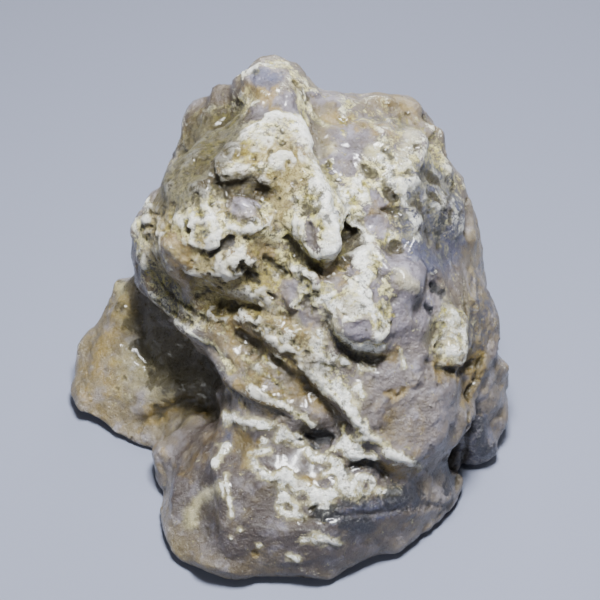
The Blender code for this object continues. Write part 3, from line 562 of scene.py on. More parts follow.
# The crusted chest, its crescent and the round swell beside it
CHEST = (
    chalk(1.0, 2.0, (8.6, 8.4), (8.2, 5.4), (9.4, 2.4), (9.4, -0.6)),
    window(0.9, -0.4, (6.8, 5.6), (7.2, 4.0)),
    window(0.8, -0.4, (10.2, 1.6), (10.6, 0.2)),
    rim(0.8, 0.4, (11.0, 6.6), (12.2, 4.6), (12.0, 2.6), (13.0, 0.6)),
    rim(0.7, 0.35, (11.4, -0.6), (12.6, -1.8), (12.2, -3.4)),
    wash(Stain.OCHRE, 0.5, 1.5, (6.4, 2.0), (7.2, -1.4)),
    rim(0.9, 0.4, (2.6, 0.0), (4.6, 0.8), (6.8, 2.2)),
    window(1.4, -0.3, (4.2, 3.6), (5.4, 2.6)),
    window(1.3, -0.3, (3.4, -1.8), (5.0, -3.0)),
    crack(0.5, 0.4, (6.0, 4.8), (6.8, 3.4)),
    crack(0.5, 0.4, (10.4, 4.8), (11.2, 3.2), (12.2, 3.4)),
    swell(2.6, 0.5, (5.6, -3.4), (7.6, -5.4)),
    swell(2.4, 0.4, (10.2, -4.6), (11.4, -6.2)),
    chalk(1.0, 1.5, (4.4, -2.6), (6.0, -5.0), (8.2, -6.8), (10.4, -7.2)),
    rim(0.7, 0.4, (6.4, -2.6), (8.2, -3.0), (10.2, -2.2)),
    window(1.4, -0.3, (7.0, -4.0), (8.4, -4.6)),
    chalk(0.9, 1.4, (9.6, -6.4), (10.8, -4.6)),
    window(1.2, -0.2, (8.8, -3.8), (9.0, -5.0)),
    swell(1.6, 0.7, (4.4, -7.0), (6.8, -9.2), (10.0, -10.2)),
    crack(0.6, 0.5, (3.6, -3.4), (5.2, -6.0), (7.2, -7.8), (9.8, -8.6), (11.6, -8.2)),
    wash(Stain.INK, 0.5, 0.6, (3.6, -3.4), (5.2, -6.0), (7.2, -7.8), (9.8, -8.6)),
    wash(Stain.OCHRE, 0.9, 1.4, (12.2, -7.6), (13.0, -7.8)),
    flake(0.9, 0.2, (5.6, -8.2), (6.4, -8.8)),
    flake(0.9, 0.2, (8.4, -9.8), (10.2, -9.6)),
    swell(2.8, 0.6, (14.6, 4.2), (16.0, 2.8)),
    window(3.2, 0.0, (14.6, 4.2), (16.0, 2.6)),
    chalk(0.5, 1.1, (14.0, 3.4), (15.6, 2.2)),
    pit(1.0, 0.8, (18.6, 2.0), (19.8, 1.0), stain=Stain.INK),
    pit(0.9, 0.7, (17.8, -0.8), (18.4, -1.4), stain=Stain.INK),
    pit(1.1, 0.8, (13.3, 7.3)),
    pit(0.9, 0.5, (12.6, -13.0), (13.6, -13.6), (14.4, -13.0), stain=Stain.OCHRE),
    flake(0.7, 0.2, (8.2, -12.2), (8.8, -13.4)),
    flake(0.5, 0.2, (19.6, -8.8), (20.2, -9.0)),
    flake(0.5, 0.2, (14.2, -7.2), (14.6, -9.6)),
    swell(3.0, 0.5, (16.6, -8.6)),
    wash(Stain.OCHRE, 0.35, 3.6, (13.0, -17.0), (15.4, -19.6)),
)

# The slope on the right: bare at the top, then crusted and full of slits
RIGHT_SLOPE = (
    wash(Stain.OCHRE, 0.6, 1.2, (3.6, 25.6), (7.0, 25.2), (11.0, 24.0), (13.4, 23.0)),
    wash(Stain.OCHRE, 0.45, 4.0, (12.0, 28.4), (15.6, 26.6), (17.6, 24.2)),
    wash(Stain.TAN, 0.6, 3.6, (9.0, 27.6), (13.5, 27.6)),
    swell(1.3, 0.5, (12.6, 27.8)),
    swell(1.2, 0.5, (12.3, 24.8)),
    crack(0.7, 0.5, (15.0, 26.2), dirt=1.0),
    ridge(1.4, 0.5, (7.0, 20.6), (9.8, 19.6), (12.8, 20.4), (15.4, 19.2)),
    wash(Stain.CHALK, 0.4, 1.5, (4.6, 21.4), (7.4, 20.0), (10.4, 21.6)),
    wash(Stain.CHALK, 0.5, 1.2, (9.4, 20.8), (12.6, 19.0), (15.2, 20.6), (15.8, 24.0)),
    chalk(0.8, 0.9, (8.4, 18.8), (7.8, 16.2), (9.6, 14.2)),
    chalk(0.8, 0.9, (12.8, 17.6), (13.2, 15.8), (12.0, 13.4)),
    chalk(0.8, 1.0, (5.6, 15.0), (6.6, 12.4)),
    chalk(0.8, 1.1, (8.6, 11.0), (11.0, 10.4), (12.6, 9.0)),
    rim(0.7, 0.35, (4.2, 19.4), (6.2, 17.6), (8.6, 16.8)),
    rim(0.7, 0.4, (8.0, 19.0), (9.4, 16.4), (11.2, 15.8)),
    rim(0.7, 0.35, (10.0, 12.8), (12.2, 11.6), (14.2, 11.8)),
    crack(0.8, 0.7, (9.0, 18.6), (10.4, 17.4), dirt=1.0),
    crack(0.8, 0.8, (11.6, 16.2), (12.4, 14.6), (13.2, 14.2), dirt=1.0),
    crack(0.9, 0.9, (11.6, 12.6), (13.2, 12.4), dirt=1.0),
    wash(Stain.OCHRE, 0.5, 1.8, (11.6, 12.6), (13.6, 12.2)),
    crack(0.7, 0.6, (12.0, 20.9), (12.8, 20.0), dirt=1.0),
    crack(0.8, 0.6, (16.2, 21.5), dirt=1.0),
    crack(0.9, 0.8, (18.4, 17.2), (19.4, 16.6), dirt=1.0),
    crack(0.7, 0.6, (15.2, 18.0), dirt=1.0),
    crack(0.8, 0.7, (16.6, 13.8), (16.9, 13.0), dirt=1.0),
    crack(0.7, 0.7, (18.8, 14.6), (19.6, 13.8), dirt=1.0),
    crack(0.7, 0.7, (20.4, 14.8), dirt=1.0),
    crack(0.6, 0.6, (17.4, 11.4), dirt=1.0),
    crack(0.6, 0.6, (21.2, 12.6), dirt=1.0),
    crack(0.7, 0.6, (13.6, 7.6), dirt=1.0),
    crack(0.5, 0.5, (19.2, 7.6), dirt=1.0),
    crack(0.5, 0.5, (5.5, 12.0), dirt=1.0),
    crack(0.6, 0.5, (21.6, 16.2), (20.6, 13.4), (21.0, 10.8)),
    crack(0.6, 0.5, (23.4, 14.0), (22.4, 11.8)),
    window(1.9, -0.3, (11.2, 13.0), (10.4, 10.6)),
    window(1.8, 0.0, (6.6, 18.6), (8.0, 22.2)),
    wash(Stain.OCHRE, 0.5, 1.6, (17.6, 9.0), (18.6, 7.2)),
    wash(Stain.INK, 0.55, 1.5, (19.2, 9.6), (20.0, 11.8)),
    wash(Stain.INK, 0.9, 1.2, (27.2, 8.8), (27.6, 6.8)),
)

# The right edge and the block below it
RIGHT_EDGE = (
    swell(3.0, 0.6, (21.4, -3.0), (21.6, -6.4)),
    chalk(0.7, 2.0, (21.0, -2.6), (21.4, -7.0)),
    ridge(0.7, -0.35, (20.2, -3.4), (22.2, -4.2)),
    ridge(0.7, -0.35, (20.0, -5.4), (22.4, -6.2)),
    ridge(1.2, 0.6, (24.0, 4.0), (24.6, -1.0), (25.0, -6.0)),
    wash(Stain.TAN, 0.8, 1.8, (25.0, 6.0), (25.0, -1.0), (24.6, -7.0)),
    crack(0.8, 0.6, (23.0, 3.0), (23.4, -2.0)),
    crack(1.0, 0.9, (19.4, -9.4), (21.6, -10.0), (24.2, -9.2)),
    wash(Stain.OCHRE, 0.9, 1.8, (19.6, -9.4), (22.0, -9.8), (24.2, -9.0)),
    crack(1.1, 1.0, (25.4, -8.6), (24.8, -11.2), (23.2, -13.4)),
    wash(Stain.OCHRE, 0.9, 1.6, (25.2, -9.0), (24.5, -11.0), (22.5, -13.5)),
    swell(1.8, 0.5, (26.8, -6.5)),
    wash(Stain.LILAC, 0.8, 1.8, (26.8, -6.5)),
    swell(1.4, 0.4, (24.6, -13.6)),
    wash(Stain.OCHRE, 0.5, 1.6, (29.2, -6.0), (29.4, -8.0), (28.6, -12.0)),
    crack(0.8, 0.7, (23.8, -16.0), (23.3, -20.0), (22.8, -23.0), (22.0, -26.0)),
    wash(Stain.INK, 0.75, 1.5, (24.4, -17.6), (26.0, -17.2), (25.2, -20.6), (26.8, -21.4)),
    chalk(0.5, 1.4, (24.6, -24.2), (25.2, -25.4)),
    wash(Stain.INK, 0.9, 1.5, (20.2, -22.6), (21.0, -24.0), (20.8, -26.0)),
    wash(Stain.INK, 0.6, 1.4, (13.0, -27.4), (16.0, -26.8)),
)

# The pale flange low on the left
WING = (
    wash(Stain.CHALK, 0.5, 3.6, (-22.0, -8.0), (-18.6, -11.6), (-15.6, -13.0)),
    wash(Stain.OCHRE, 0.4, 1.8, (-21.8, 3.0), (-26.0, -3.0), (-29.4, -9.0), (-30.2, -13.0)),
    wash(Stain.OCHRE, 0.75, 1.5, (-24.8, -0.4), (-23.6, -1.4)),
    wash(Stain.OCHRE, 0.45, 2.6, (-26.4, -5.8), (-27.0, -10.8)),
    wash(Stain.CHALK, 0.7, 1.4, (-25.0, 1.5), (-24.4, -2.2)),
    swell(2.8, 0.4, (-25.6, -1.8)),
    swell(2.6, -0.4, (-24.0, -6.6), (-20.8, -8.6)),
    ridge(2.0, 0.4, (-26.6, -12.6), (-22.6, -13.4), (-18.2, -12.0)),
    ridge(1.3, -0.5, (-22.4, -17.2), (-19.6, -15.8), (-17.2, -14.6), (-14.6, -14.3), (-13.2, -15.6)),
    wash(Stain.OCHRE, 0.85, 1.7, (-21.0, -16.4), (-17.2, -14.7), (-14.8, -14.4), (-13.2, -15.6)),
    # Painted shade in the crease across the wing
    wash(Stain.SHADE, 0.4, 1.1, (-19.6, -15.8), (-17.2, -14.6), (-14.6, -14.3), (-13.2, -15.6)),
    wash(Stain.OCHRE, 0.35, 2.4, (-29.0, -15.4), (-25.0, -19.4), (-19.6, -22.6)),
    pit(0.5, 0.4, (-27.2, -9.8)),
    pit(0.5, 0.4, (-23.6, -19.4)),
)

# The smoky foot and the flakes of crust on it
FOOT = (
    wash(Stain.OCHRE, 0.7, 1.7, (-8.6, -18.6), (-7.8, -20.0), (-7.2, -21.8)),
    wash(Stain.OCHRE, 0.25, 3.0, (-13.0, -20.0), (-15.6, -23.6)),
    wash(Stain.SLATE, 0.5, 1.2, (-9.8, -18.6), (-10.2, -20.6)),
    flake(1.1, 0.25, (-10.4, -16.2), (-8.4, -17.0), (-6.0, -17.2), (-4.4, -17.8)),
    flake(1.5, 0.25, (-2.6, -19.0)),
    flake(1.1, 0.25, (-0.6, -19.4), (0.2, -20.0)),
    flake(0.6, 0.2, (-4.9, -19.9)),
    flake(0.8, 0.25, (-10.2, -20.4), (-11.2, -21.8), (-11.9, -23.2)),
    flake(0.9, 0.25, (-6.9, -21.5), (-6.1, -23.5), (-4.3, -25.0), (-2.0, -24.4)),
    flake(1.0, 0.25, (-2.0, -24.4), (-0.3, -26.1), (2.7, -27.0), (4.7, -27.3)),
    flake(0.7, 0.2, (-5.8, -21.4), (-4.4, -21.0)),
    flake(1.9, 0.28, (2.2, -28.0), (3.4, -28.6)),
    flake(0.7, 0.2, (-2.6, -26.2), (-2.6, -29.8), (0.6, -30.4)),
    flake(0.6, 0.2, (-2.4, -27.4), (-0.4, -28.8)),
    flake(1.9, 0.28, (6.2, -25.8), (7.6, -26.6)),
    flake(0.7, 0.25, (3.6, -24.4), (4.6, -23.8), (5.6, -24.2)),
    flake(0.6, 0.25, (8.4, -24.6), (10.2, -25.2), (9.8, -26.6)),
    flake(0.8, 0.2, (1.0, -21.2), (1.6, -22.2), (3.9, -22.3), (5.4, -22.8)),
    flake(1.2, 0.25, (7.4, -21.6), (8.2, -22.0)),
    flake(0.7, 0.2, (11.0, -26.8), (14.0, -27.0)),
    pit(0.5, 0.4, (4.6, -24.8)),
    pit(0.5, 0.4, (6.9, -26.4)),
    pit(0.8, 0.7, (1.4, -29.4), (2.2, -28.8)),
    wash(Stain.OCHRE, 0.6, 0.9, (2.4, -24.9), (0.6, -25.6)),
    flake(0.35, 0.2, (-10.4, -24.4), (-10.0, -27.4), (-9.6, -30.2)),
    flake(0.6, 0.2, (-10.9, -26.2), (-10.7, -27.2)),
    wash(Stain.CHALK, 0.5, 0.9, (-11.3, -26.4), (-13.9, -27.6), (-15.1, -29.6), (-15.5, -31.4)),
    ridge(1.0, 0.3, (-11.3, -26.4), (-13.9, -27.6), (-15.1, -29.6), (-15.5, -31.4)),
    flake(0.5, 0.2, (-8.4, -32.2)),
    flake(0.4, 0.2, (-9.6, -33.4)),
    flake(0.5, 0.2, (-5.8, -34.4)),
    pit(0.7, 0.5, (-6.3, -35.4), stain=Stain.OCHRE),
    flake(0.8, 0.2, (0.4, -33.8), (2.6, -33.2), (5.6, -34.2)),
    flake(0.7, 0.2, (-1.4, -35.8), (-0.4, -36.4)),
    crack(1.2, 0.6, (0.4, -30.8), (5.4, -30.4), (12.0, -29.8), (17.0, -28.8), (21.0, -29.0), dirt=0.5),
    # Manganese, and painted shadow under the ledge of the front lobe
    wash(Stain.INK, 0.8, 1.1, (2.4, -30.0), (4.8, -30.0)),
    wash(Stain.INK, 0.8, 1.4, (6.6, -31.2), (9.4, -31.8)),
    wash(Stain.INK, 0.55, 1.3, (6.0, -28.6), (12.0, -28.2), (17.0, -27.8)),
    ridge(1.6, 0.35, (-14.4, -36.6), (-8.0, -38.4), (0.0, -38.0), (6.0, -39.2), (12.0, -37.0)),
)

STROKES = CROWN + BROW + BEAK + CHEEK + KNOB + NECK + CHEST + RIGHT_SLOPE + RIGHT_EDGE + WING + FOOT


@dataclass(frozen=True)
class Relief:
    """The height of the skin's own small relief, in millimetres.

    Attributes:
        bend_grain: The size of the bends in the rind's cracks and folds.
        bend_reach: How far they bend.
        crack_grain: The size of the plates that the rind has broken into.
        crack_width: How wide the cracks between them are, as a part of the grain.
        crack_depth: How deep they are.
        whole_grain: The size of the areas that are broken or whole.
        pit_grain: How far the pits in the rind are apart.
        pit_width: How far one reaches, as a part of the grain.
        pit_depth: How deep they are.
        pit_share: The part of the pit places that has one.
        lump_grain: The size of the rind's lumps.
        lump_height: How high they are.
        fold_grain: How far the rind's sharp folds are apart.
        fold_height: How high they stand.
        fold_level: The part of that height which evens the folds out with the rind between them.
        fine_fold_size: The size of the finer folds on them, as a part of theirs.
        fine_fold_share: How high those are, as a part of theirs.
        quartz_grain: The size of the quartz's swells.
        quartz_height: How high they are.
        chip_grain: The size of the flat chips that both are broken into.
        chip_slope: How steeply they tilt.
        chip_blend: How far a chip runs into the next, as a part of the grain.
    """

    bend_grain: float = 2.2
    bend_reach: float = 1.1
    crack_grain: float = 3.1
    crack_width: float = 0.11
    crack_depth: float = 0.16
    whole_grain: float = 3.3
    pit_grain: float = 1.5
    pit_width: float = 0.38
    pit_depth: float = 0.3
    pit_share: float = 0.06
    lump_grain: float = 2.1
    lump_height: float = 0.2
    fold_grain: float = 2.2
    fold_height: float = 0.4
    fold_level: float = 0.32
    fine_fold_size: float = 0.45
    fine_fold_share: float = 0.4
    quartz_grain: float = 2.6
    quartz_height: float = 0.12
    chip_grain: float = 3.0
    chip_slope: float = 0.34
    chip_blend: float = 0.2

    def chip(self, at: Vector) -> float:
        """The height at a place in millimetres of flat chips, each tilted its own way."""
        spans, middles = noise.voronoi(at / self.chip_grain)
        first, second = [
            (at / self.chip_grain - middle).dot(noise.noise_vector(middle * 3.7)) for middle in middles[:2]
        ]
        share = 0.5 + 0.5 * min(1.0, (spans[1] - spans[0]) / self.chip_blend)
        return self.chip_grain * self.chip_slope * (share * first + (1.0 - share) * second)

    def rind(self, at: Vector) -> tuple[float, float]:
        """The height of the rind.

        Args:
            at: A place in millimetres.

        Returns:
            The height, and how much dirt sits there from 0 to 1.
        """
        bent = at + noise.noise_vector(at / self.bend_grain) * self.bend_reach
        spans, _ = noise.voronoi(bent / self.crack_grain)
        broken = max(0.0, noise.noise(at / self.whole_grain) + 0.15)
        cleft = max(0.0, 1.0 - (spans[1] - spans[0]) / self.crack_width) * min(1.0, 3.0 * broken)
        near, middles = noise.voronoi((at + noise.noise_vector(at / 0.9) * 0.3) / self.pit_grain)
        kept = noise.cell(middles[0] * 5.3) < self.pit_share
        sunk = max(0.0, 1.0 - near[0] / self.pit_width) if kept else 0.0
        lumps = noise.fractal(at / self.lump_grain, 0.9, 2.1, 4)
        coarse = abs(noise.noise(bent / self.fold_grain))
        fine = abs(noise.noise(bent / self.fine_fold_size / self.fold_grain))
        folds = self.fold_level - coarse - self.fine_fold_share * fine
        height = self.lump_height * lumps + self.fold_height * folds - self.crack_depth * cleft
        height -= self.pit_depth * min(1.0, 1.5 * sunk)
        return height, min(1.0, 0.7 * cleft + 1.2 * sunk)

    def quartz(self, at: Vector) -> float:
        """The height of the bare quartz at a place in millimetres."""
        swells = noise.fractal(at / self.quartz_grain, 0.9, 2.2, 4)
        return self.quartz_height * swells


@dataclass
class StoneSkin:
    """The visible surface of the stone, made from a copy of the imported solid.

    Attributes:
        node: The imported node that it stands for.
        voxel: Millimetres between the corners of the worked mesh.
        triangles: The most triangles in the finished mesh.
        relief: The small relief of its two surfaces.
    """

    node: str = "stone"
    voxel: float = 0.33
    triangles: int = 196000
    relief: Relief = Relief()

    def build(self) -> bpy.types.Object:
        """Makes the surface, with its stains as values at its corners.

        Returns:
            The finished piece.
        """
        self.piece = self._copy()
        self._modify("SUBSURF", levels=1, render_levels=1)
        self._modify("REMESH", mode="VOXEL", voxel_size=self.voxel * MM)
        self._modify("SMOOTH", factor=0.5, iterations=4)
        self.stains = {stain: np.zeros(len(self.piece.data.vertices)) for stain in Stain}
        LOG.info("the skin is worked on %d corners", len(self.piece.data.vertices))
        self._ragged()
        self._tint_zones()
        tree = self._tree()
        for stroke in STROKES:
            self._work(tree, stroke)
        self._weather()
        self._keep_stains()
        self._modify("DECIMATE", ratio=self.triangles / (2 * len(self.piece.data.polygons)))
        self._settle()
        self._mark_hollows()
        self._mark_shelter()
        self.piece.data.shade_smooth()
        return self.piece

    def _copy(self) -> bpy.types.Object:
        """A copy of the node's mesh, its loose triangles merged."""
        bpy.ops.object.select_all(action="DESELECT")
        source = bpy.data.objects[self.node]
        source.select_set(True)
        bpy.context.view_layer.objects.active = source
        bpy.ops.object.duplicate()
        piece = bpy.context.object
        piece.name = "stone_skin"
        piece.data.name = "stone_skin"
        bpy.ops.object.mode_set(mode="EDIT")
        bpy.ops.mesh.select_all(action="SELECT")
        bpy.ops.mesh.remove_doubles(threshold=1e-6)
        bpy.ops.object.mode_set(mode="OBJECT")
        return piece

    def _modify(self, kind: str, **settings: object) -> None:
        """Applies one modifier of a kind to the piece."""
        modifier = self.piece.modifiers.new(kind.title(), kind)
        for name, value in settings.items():
            setattr(modifier, name, value)
        bpy.context.view_layer.objects.active = self.piece
        bpy.ops.object.modifier_apply(modifier=modifier.name)

    def _read(self, what: str) -> np.ndarray:
        """The corners' places ("co") or normals ("normal"), one row each."""
        flat = np.empty(len(self.piece.data.vertices) * 3)
        self.piece.data.vertices.foreach_get(what, flat)
        return flat.reshape(-1, 3)

    def _places(self) -> np.ndarray:
        """The corners in millimetres, one row each."""
        return self._read("co") / MM

    def _put(self, places: np.ndarray) -> None:
        """Moves the corners to these places in millimetres."""
        self.piece.data.vertices.foreach_set("co", (places * MM).ravel())
        self.piece.data.update()

    def _tree(self) -> BVHTree:
        """The skin in millimetres, ready for lines of sight to meet it."""
        faces = [tuple(polygon.vertices) for polygon in self.piece.data.polygons]
        return BVHTree.FromPolygons(self._places().tolist(), faces)

    def _ragged(self) -> None:
        """Notes how ragged the edge of a stroke is at each corner."""
        turbid = [noise.fractal(Vector(place) / RAGGED_GRAIN, 0.6, 2.2, 3) for place in self._places()]
        self.ragged = np.clip(1.0 + RAGGED_GAIN * np.array(turbid), *RAGGED_RANGE)

    def _add(self, stain: Stain, amount: float, hold: np.ndarray, where: np.ndarray | slice) -> None:
        """Adds to a stain, within 0 and 1."""
        values = self.stains[stain]
        values[where] = np.clip(values[where] + amount * hold, 0.0, 1.0)

    def _tint_zones(self) -> None:
        """Lays the broad stains."""
        places = self._places()
        for zone in ZONES:
            self._add(zone.stain, zone.amount, zone.hold(places), slice(None))

    def _laid(self, tree: BVHTree, stroke: Stroke) -> tuple[np.ndarray, np.ndarray]:
        """Lays a stroke's path on the skin.

        Args:
            tree: The skin, in millimetres.
            stroke: The stroke.

        Returns:
            Places along the path and the skin's evened-out normals there.
        """
        corners = np.array(stroke.path)
        if len(corners) > 1:
            runs = np.linalg.norm(np.diff(corners, axis=0), axis=1)
            along = np.concatenate([[0.0], np.cumsum(runs)])
            steps = np.linspace(0.0, along[-1], max(2, int(along[-1] / PATH_STEP) + 1))
            corners = np.column_stack([np.interp(steps, along, corners[:, axis]) for axis in (0, 1)])
        hits = [FRONT.touch(tree, *corner) for corner in corners]
        hits = [hit for hit in hits if hit[0] is not None]
        places = np.array([place for place, _ in hits])
        facing = np.array([normal for _, normal in hits])
        if len(hits) > 1:
            spans = np.linalg.norm(places[:, None, :] - places[None, :, :], axis=2)
            facing = np.exp(-((spans / NORMAL_REACH) ** 2)) @ facing
            facing /= np.linalg.norm(facing, axis=1)[:, None]
        return places, facing

    def _work(self, tree: BVHTree, stroke: Stroke) -> None:
        """Lifts or sinks the skin along a stroke, and stains it.

        Args:
            tree: The skin before any stroke, in millimetres.
            stroke: The stroke.
        """
        path, facing = self._laid(tree, stroke)
        if not len(path):
            return
        places = self._places()
        reach = STAIN_EDGE * stroke.width
        low, high = path.min(axis=0) - reach, path.max(axis=0) + reach
        close = np.flatnonzero(np.all((places > low) & (places < high), axis=1))
        gaps = places[close, None, :] - path[None, :, :]
        heights = (gaps * facing[None, :, :]).sum(axis=2)
        spans = np.sqrt(np.maximum((gaps**2).sum(axis=2) - heights**2, 0.0)) + SLANT * np.abs(heights)
        nearest = spans.argmin(axis=1)
        out = spans[np.arange(len(close)), nearest] / stroke.width * self.ragged[close]
        turned = (self._read("normal")[close] * facing[nearest]).sum(axis=1)
        same_face = np.clip(FACING_GAIN * turned, 0.0, 1.0)
        if stroke.lift:
            lifted = stroke.lift * stroke.profile.share(out) * same_face
            places[close] += lifted[:, None] * facing[nearest]
            self._put(places)
        hold = np.clip((STAIN_EDGE - out) / STAIN_FADE, 0.0, 1.0) * same_face
        for stain, amount in stroke.stains:
            self._add(stain, amount, hold, close)

    def _weather(self) -> None:
        """Gives both surfaces their small relief, and dirt to the rind's cracks and pits."""
        places = self._places()
        outward = self._read("normal")
        rind = self.stains[Stain.RIND]
        chalk = self.stains[Stain.CHALK]
        calm = np.maximum(self.stains[Stain.SMOKE], self.stains[Stain.TAN])
        seams = np.zeros(len(places))
        for index, place in enumerate(places):
            at = Vector(place)
            cover = min(1.0, max(0.0, 1.6 * rind[index] - 0.3))
            crust, dirt = self.relief.rind(at)
            crust *= 1.0 - 0.5 * chalk[index]
            lift = cover * crust + (1.0 - cover) * self.relief.quartz(at)
            lift += self.relief.chip(at) * (1.0 - 0.7 * calm[index])
            seams[index] = dirt * cover
            places[index] += outward[index] * (lift * min(1.0, place[2] / GROUND_CALM))
        self.stains[Stain.SEAM] = np.maximum(self.stains[Stain.SEAM], seams)
        self._put(places)

    def _keep_stains(self) -> None:
        """Writes the stains to the mesh."""
        for stain, values in self.stains.items():
            layer = self.piece.data.attributes.new(stain.value, "FLOAT", "POINT")
            layer.data.foreach_set("value", values)

    def _settle(self) -> None:
        """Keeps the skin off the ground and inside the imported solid's reach."""
        low, high = (np.array(corner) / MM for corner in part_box(self.node))
        slack = BOX_SLACK * (high - low)
        low_limit = low - slack * np.array([1.0, 1.0, 0.0])
        self._put(np.clip(self._places(), low_limit, high + slack))

    def _mark_hollows(self) -> None:
        """Notes how hollow each corner lies: 0.5 where it is level, 1 in a hollow, 0 on an edge."""
        mesh = self.piece.data
        ends = np.empty(len(mesh.edges) * 2, dtype=np.int64)
        mesh.edges.foreach_get("vertices", ends)
        first, second = ends.reshape(-1, 2).T
        count = np.bincount(ends, minlength=len(mesh.vertices))[:, None]
        places = self._places()
        evened = places.copy()
        for _ in range(EVENING_ROUNDS):
            total = [
                np.bincount(first, evened[second, axis], len(places))
                + np.bincount(second, evened[first, axis], len(places))
                for axis in range(3)
            ]
            evened = np.column_stack(total) / count
        depth = ((evened - places) * self._read("normal")).sum(axis=1)
        values = np.clip(0.5 + depth / HOLLOW_DEPTH, 0.0, 1.0)
        mesh.attributes[Stain.HOLLOW.value].data.foreach_set("value", values)

    def _mark_shelter(self) -> None:
        """Notes how sheltered each corner is: 0 in the open, 1 where the stone closes round it."""
        tree = self._tree()
        steps = np.arange(SHELTER_RAYS)
        spread = (steps + 0.5) / SHELTER_RAYS
        turns = steps * math.pi * (3.0 - math.sqrt(5.0))
        lean = np.sqrt(spread)
        rays = np.column_stack([lean * np.cos(turns), lean * np.sin(turns), np.sqrt(1.0 - spread)])
        values = []
        for place, outward in zip(self._places(), self._read("normal")):
            aside = np.cross(outward, ASLANT)
            aside /= np.linalg.norm(aside)
            stance = np.stack([aside, np.cross(outward, aside), outward])
            start = Vector(place + SHELTER_START * outward)
            met = [tree.ray_cast(start, Vector(ray), SHELTER_REACH)[3] for ray in rays @ stance]
            closed = [1.0 - span / SHELTER_REACH for span in met if span is not None]
            values.append(sum(closed) / SHELTER_RAYS)
        self.piece.data.attributes[Stain.SHELTER.value].data.foreach_set("value", values)


@dataclass
class Board:
    """A material's nodes, with short ways to add what this stone needs.

    Attributes:
        material: The material.
    """

    material: bpy.types.Material

    def __post_init__(self) -> None:
        """Finds the material's nodes and its place in the stone."""
        self.nodes = self.material.node_tree.nodes
        self.links = self.material.node_tree.links
        self.place = self.nodes.new("ShaderNodeTexCoord").outputs["Object"]

    def feed(self, socket: Socket, value: Value | Colour) -> None:
        """Links an output, or sets a number or a colour, on a socket."""
        if isinstance(value, Socket):
            self.links.new(value, socket)
        elif isinstance(value, tuple) and len(value) == 3 and socket.type == "RGBA":
            socket.default_value = (*value, 1.0)
        else:
            socket.default_value = value

    def stain(self, stain: Stain) -> Socket:
        """A stain of the mesh, from 0 to 1."""
        node = self.nodes.new("ShaderNodeAttribute")
        node.attribute_name = stain.value
        return node.outputs["Fac"]

    def grain(
        self, size: float, detail: float = 5.0, rough: float = 0.6, bent: float = 0.0, tall: float = 1.0
    ) -> Socket:
        """Noise of a grain in millimetres, from 0 to 1.

        Args:
            size: The grain's size.
            detail: How many finer grains it holds.
            rough: How strong they are.
            bent: How far it is distorted.
            tall: How many times taller than wide its grains are.

        Returns:
            The noise.
        """
        squeeze = self.nodes.new("ShaderNodeMapping")
        squeeze.inputs["Scale"].default_value = (1.0, 1.0, 1.0 / tall)
        self.links.new(self.place, squeeze.inputs["Vector"])
        node = self.nodes.new("ShaderNodeTexNoise")
        self.links.new(squeeze.outputs["Vector"], node.inputs["Vector"])
        node.inputs["Scale"].default_value = 1.0 / (size * MM)
        node.inputs["Detail"].default_value = detail
        node.inputs["Roughness"].default_value = rough
        node.inputs["Distortion"].default_value = bent
        return node.outputs["Fac"]

    def span(
        self, value: Value, low: float, high: float, to_low: Value = 0.0, to_high: Value = 1.0
    ) -> Socket:
        """A value taken smoothly from one range to another.

        Args:
            value: The value.
            low: Where the range that it comes from starts.
            high: Where that range ends.
            to_low: What the value is taken to at its start.
            to_high: What it is taken to at its end.

        Returns:
            The new value.
        """
        node = self.nodes.new("ShaderNodeMapRange")
        node.interpolation_type = "SMOOTHSTEP"
        names = ("Value", "From Min", "From Max", "To Min", "To Max")
        for name, given in zip(names, (value, low, high, to_low, to_high)):
            self.feed(node.inputs[name], given)
        return node.outputs["Result"]

    def work_out(self, kind: str, first: Value, second: Value = 0.0) -> Socket:
        """Works out one sum of two values.

        Args:
            kind: Which sum it is, as the shader's maths node names it.
            first: The first value.
            second: The second value.

        Returns:
            What comes out.
        """
        node = self.nodes.new("ShaderNodeMath")
        node.operation = kind
        self.feed(node.inputs[0], first)
        self.feed(node.inputs[1], second)
        return node.outputs[0]

    def plus(self, first: Value, second: Value) -> Socket:
        """The two values added."""
        return self.work_out("ADD", first, second)

    def minus(self, first: Value, second: Value) -> Socket:
        """The second value taken from the first."""
        return self.work_out("SUBTRACT", first, second)

    def times(self, first: Value, second: Value) -> Socket:
        """The two values multiplied."""
        return self.work_out("MULTIPLY", first, second)

    def larger(self, first: Value, second: Value) -> Socket:
        """The larger of two values."""
        return self.work_out("MAXIMUM", first, second)

    def apart(self, first: Value, second: Value) -> Socket:
        """How far two values are apart."""
        return self.work_out("ABSOLUTE", self.minus(first, second))

    def lay(self, under: Tint, over: Tint, cover: Value) -> Socket:
        """One colour laid over another.

        Args:
            under: The colour beneath.
            over: The colour above.
            cover: How much it covers, from 0 to 1.

        Returns:
            The mixed colour.
        """
        node = self.nodes.new("ShaderNodeMix")
        node.data_type = "RGBA"
        self.feed(node.inputs["Factor"], cover)
        self.feed(node.inputs[6], under)
        self.feed(node.inputs[7], over)
        return node.outputs[2]

    def patches(self, amount: Value, spread: Value, ragged: float, soft: float) -> Socket:
        """Where patches lie, with ragged edges.

        Args:
            amount: How much of the skin they cover, from 0 to 1.
            spread: The noise that breaks them up.
            ragged: How strongly it does.
            soft: How soft their edges are.

        Returns:
            From 0 beside the patches to 1 on them.
        """
        pushed = self.times(self.minus(spread, 0.5), ragged)
        return self.span(self.plus(amount, pushed), 0.5 - soft, 0.5 + soft)


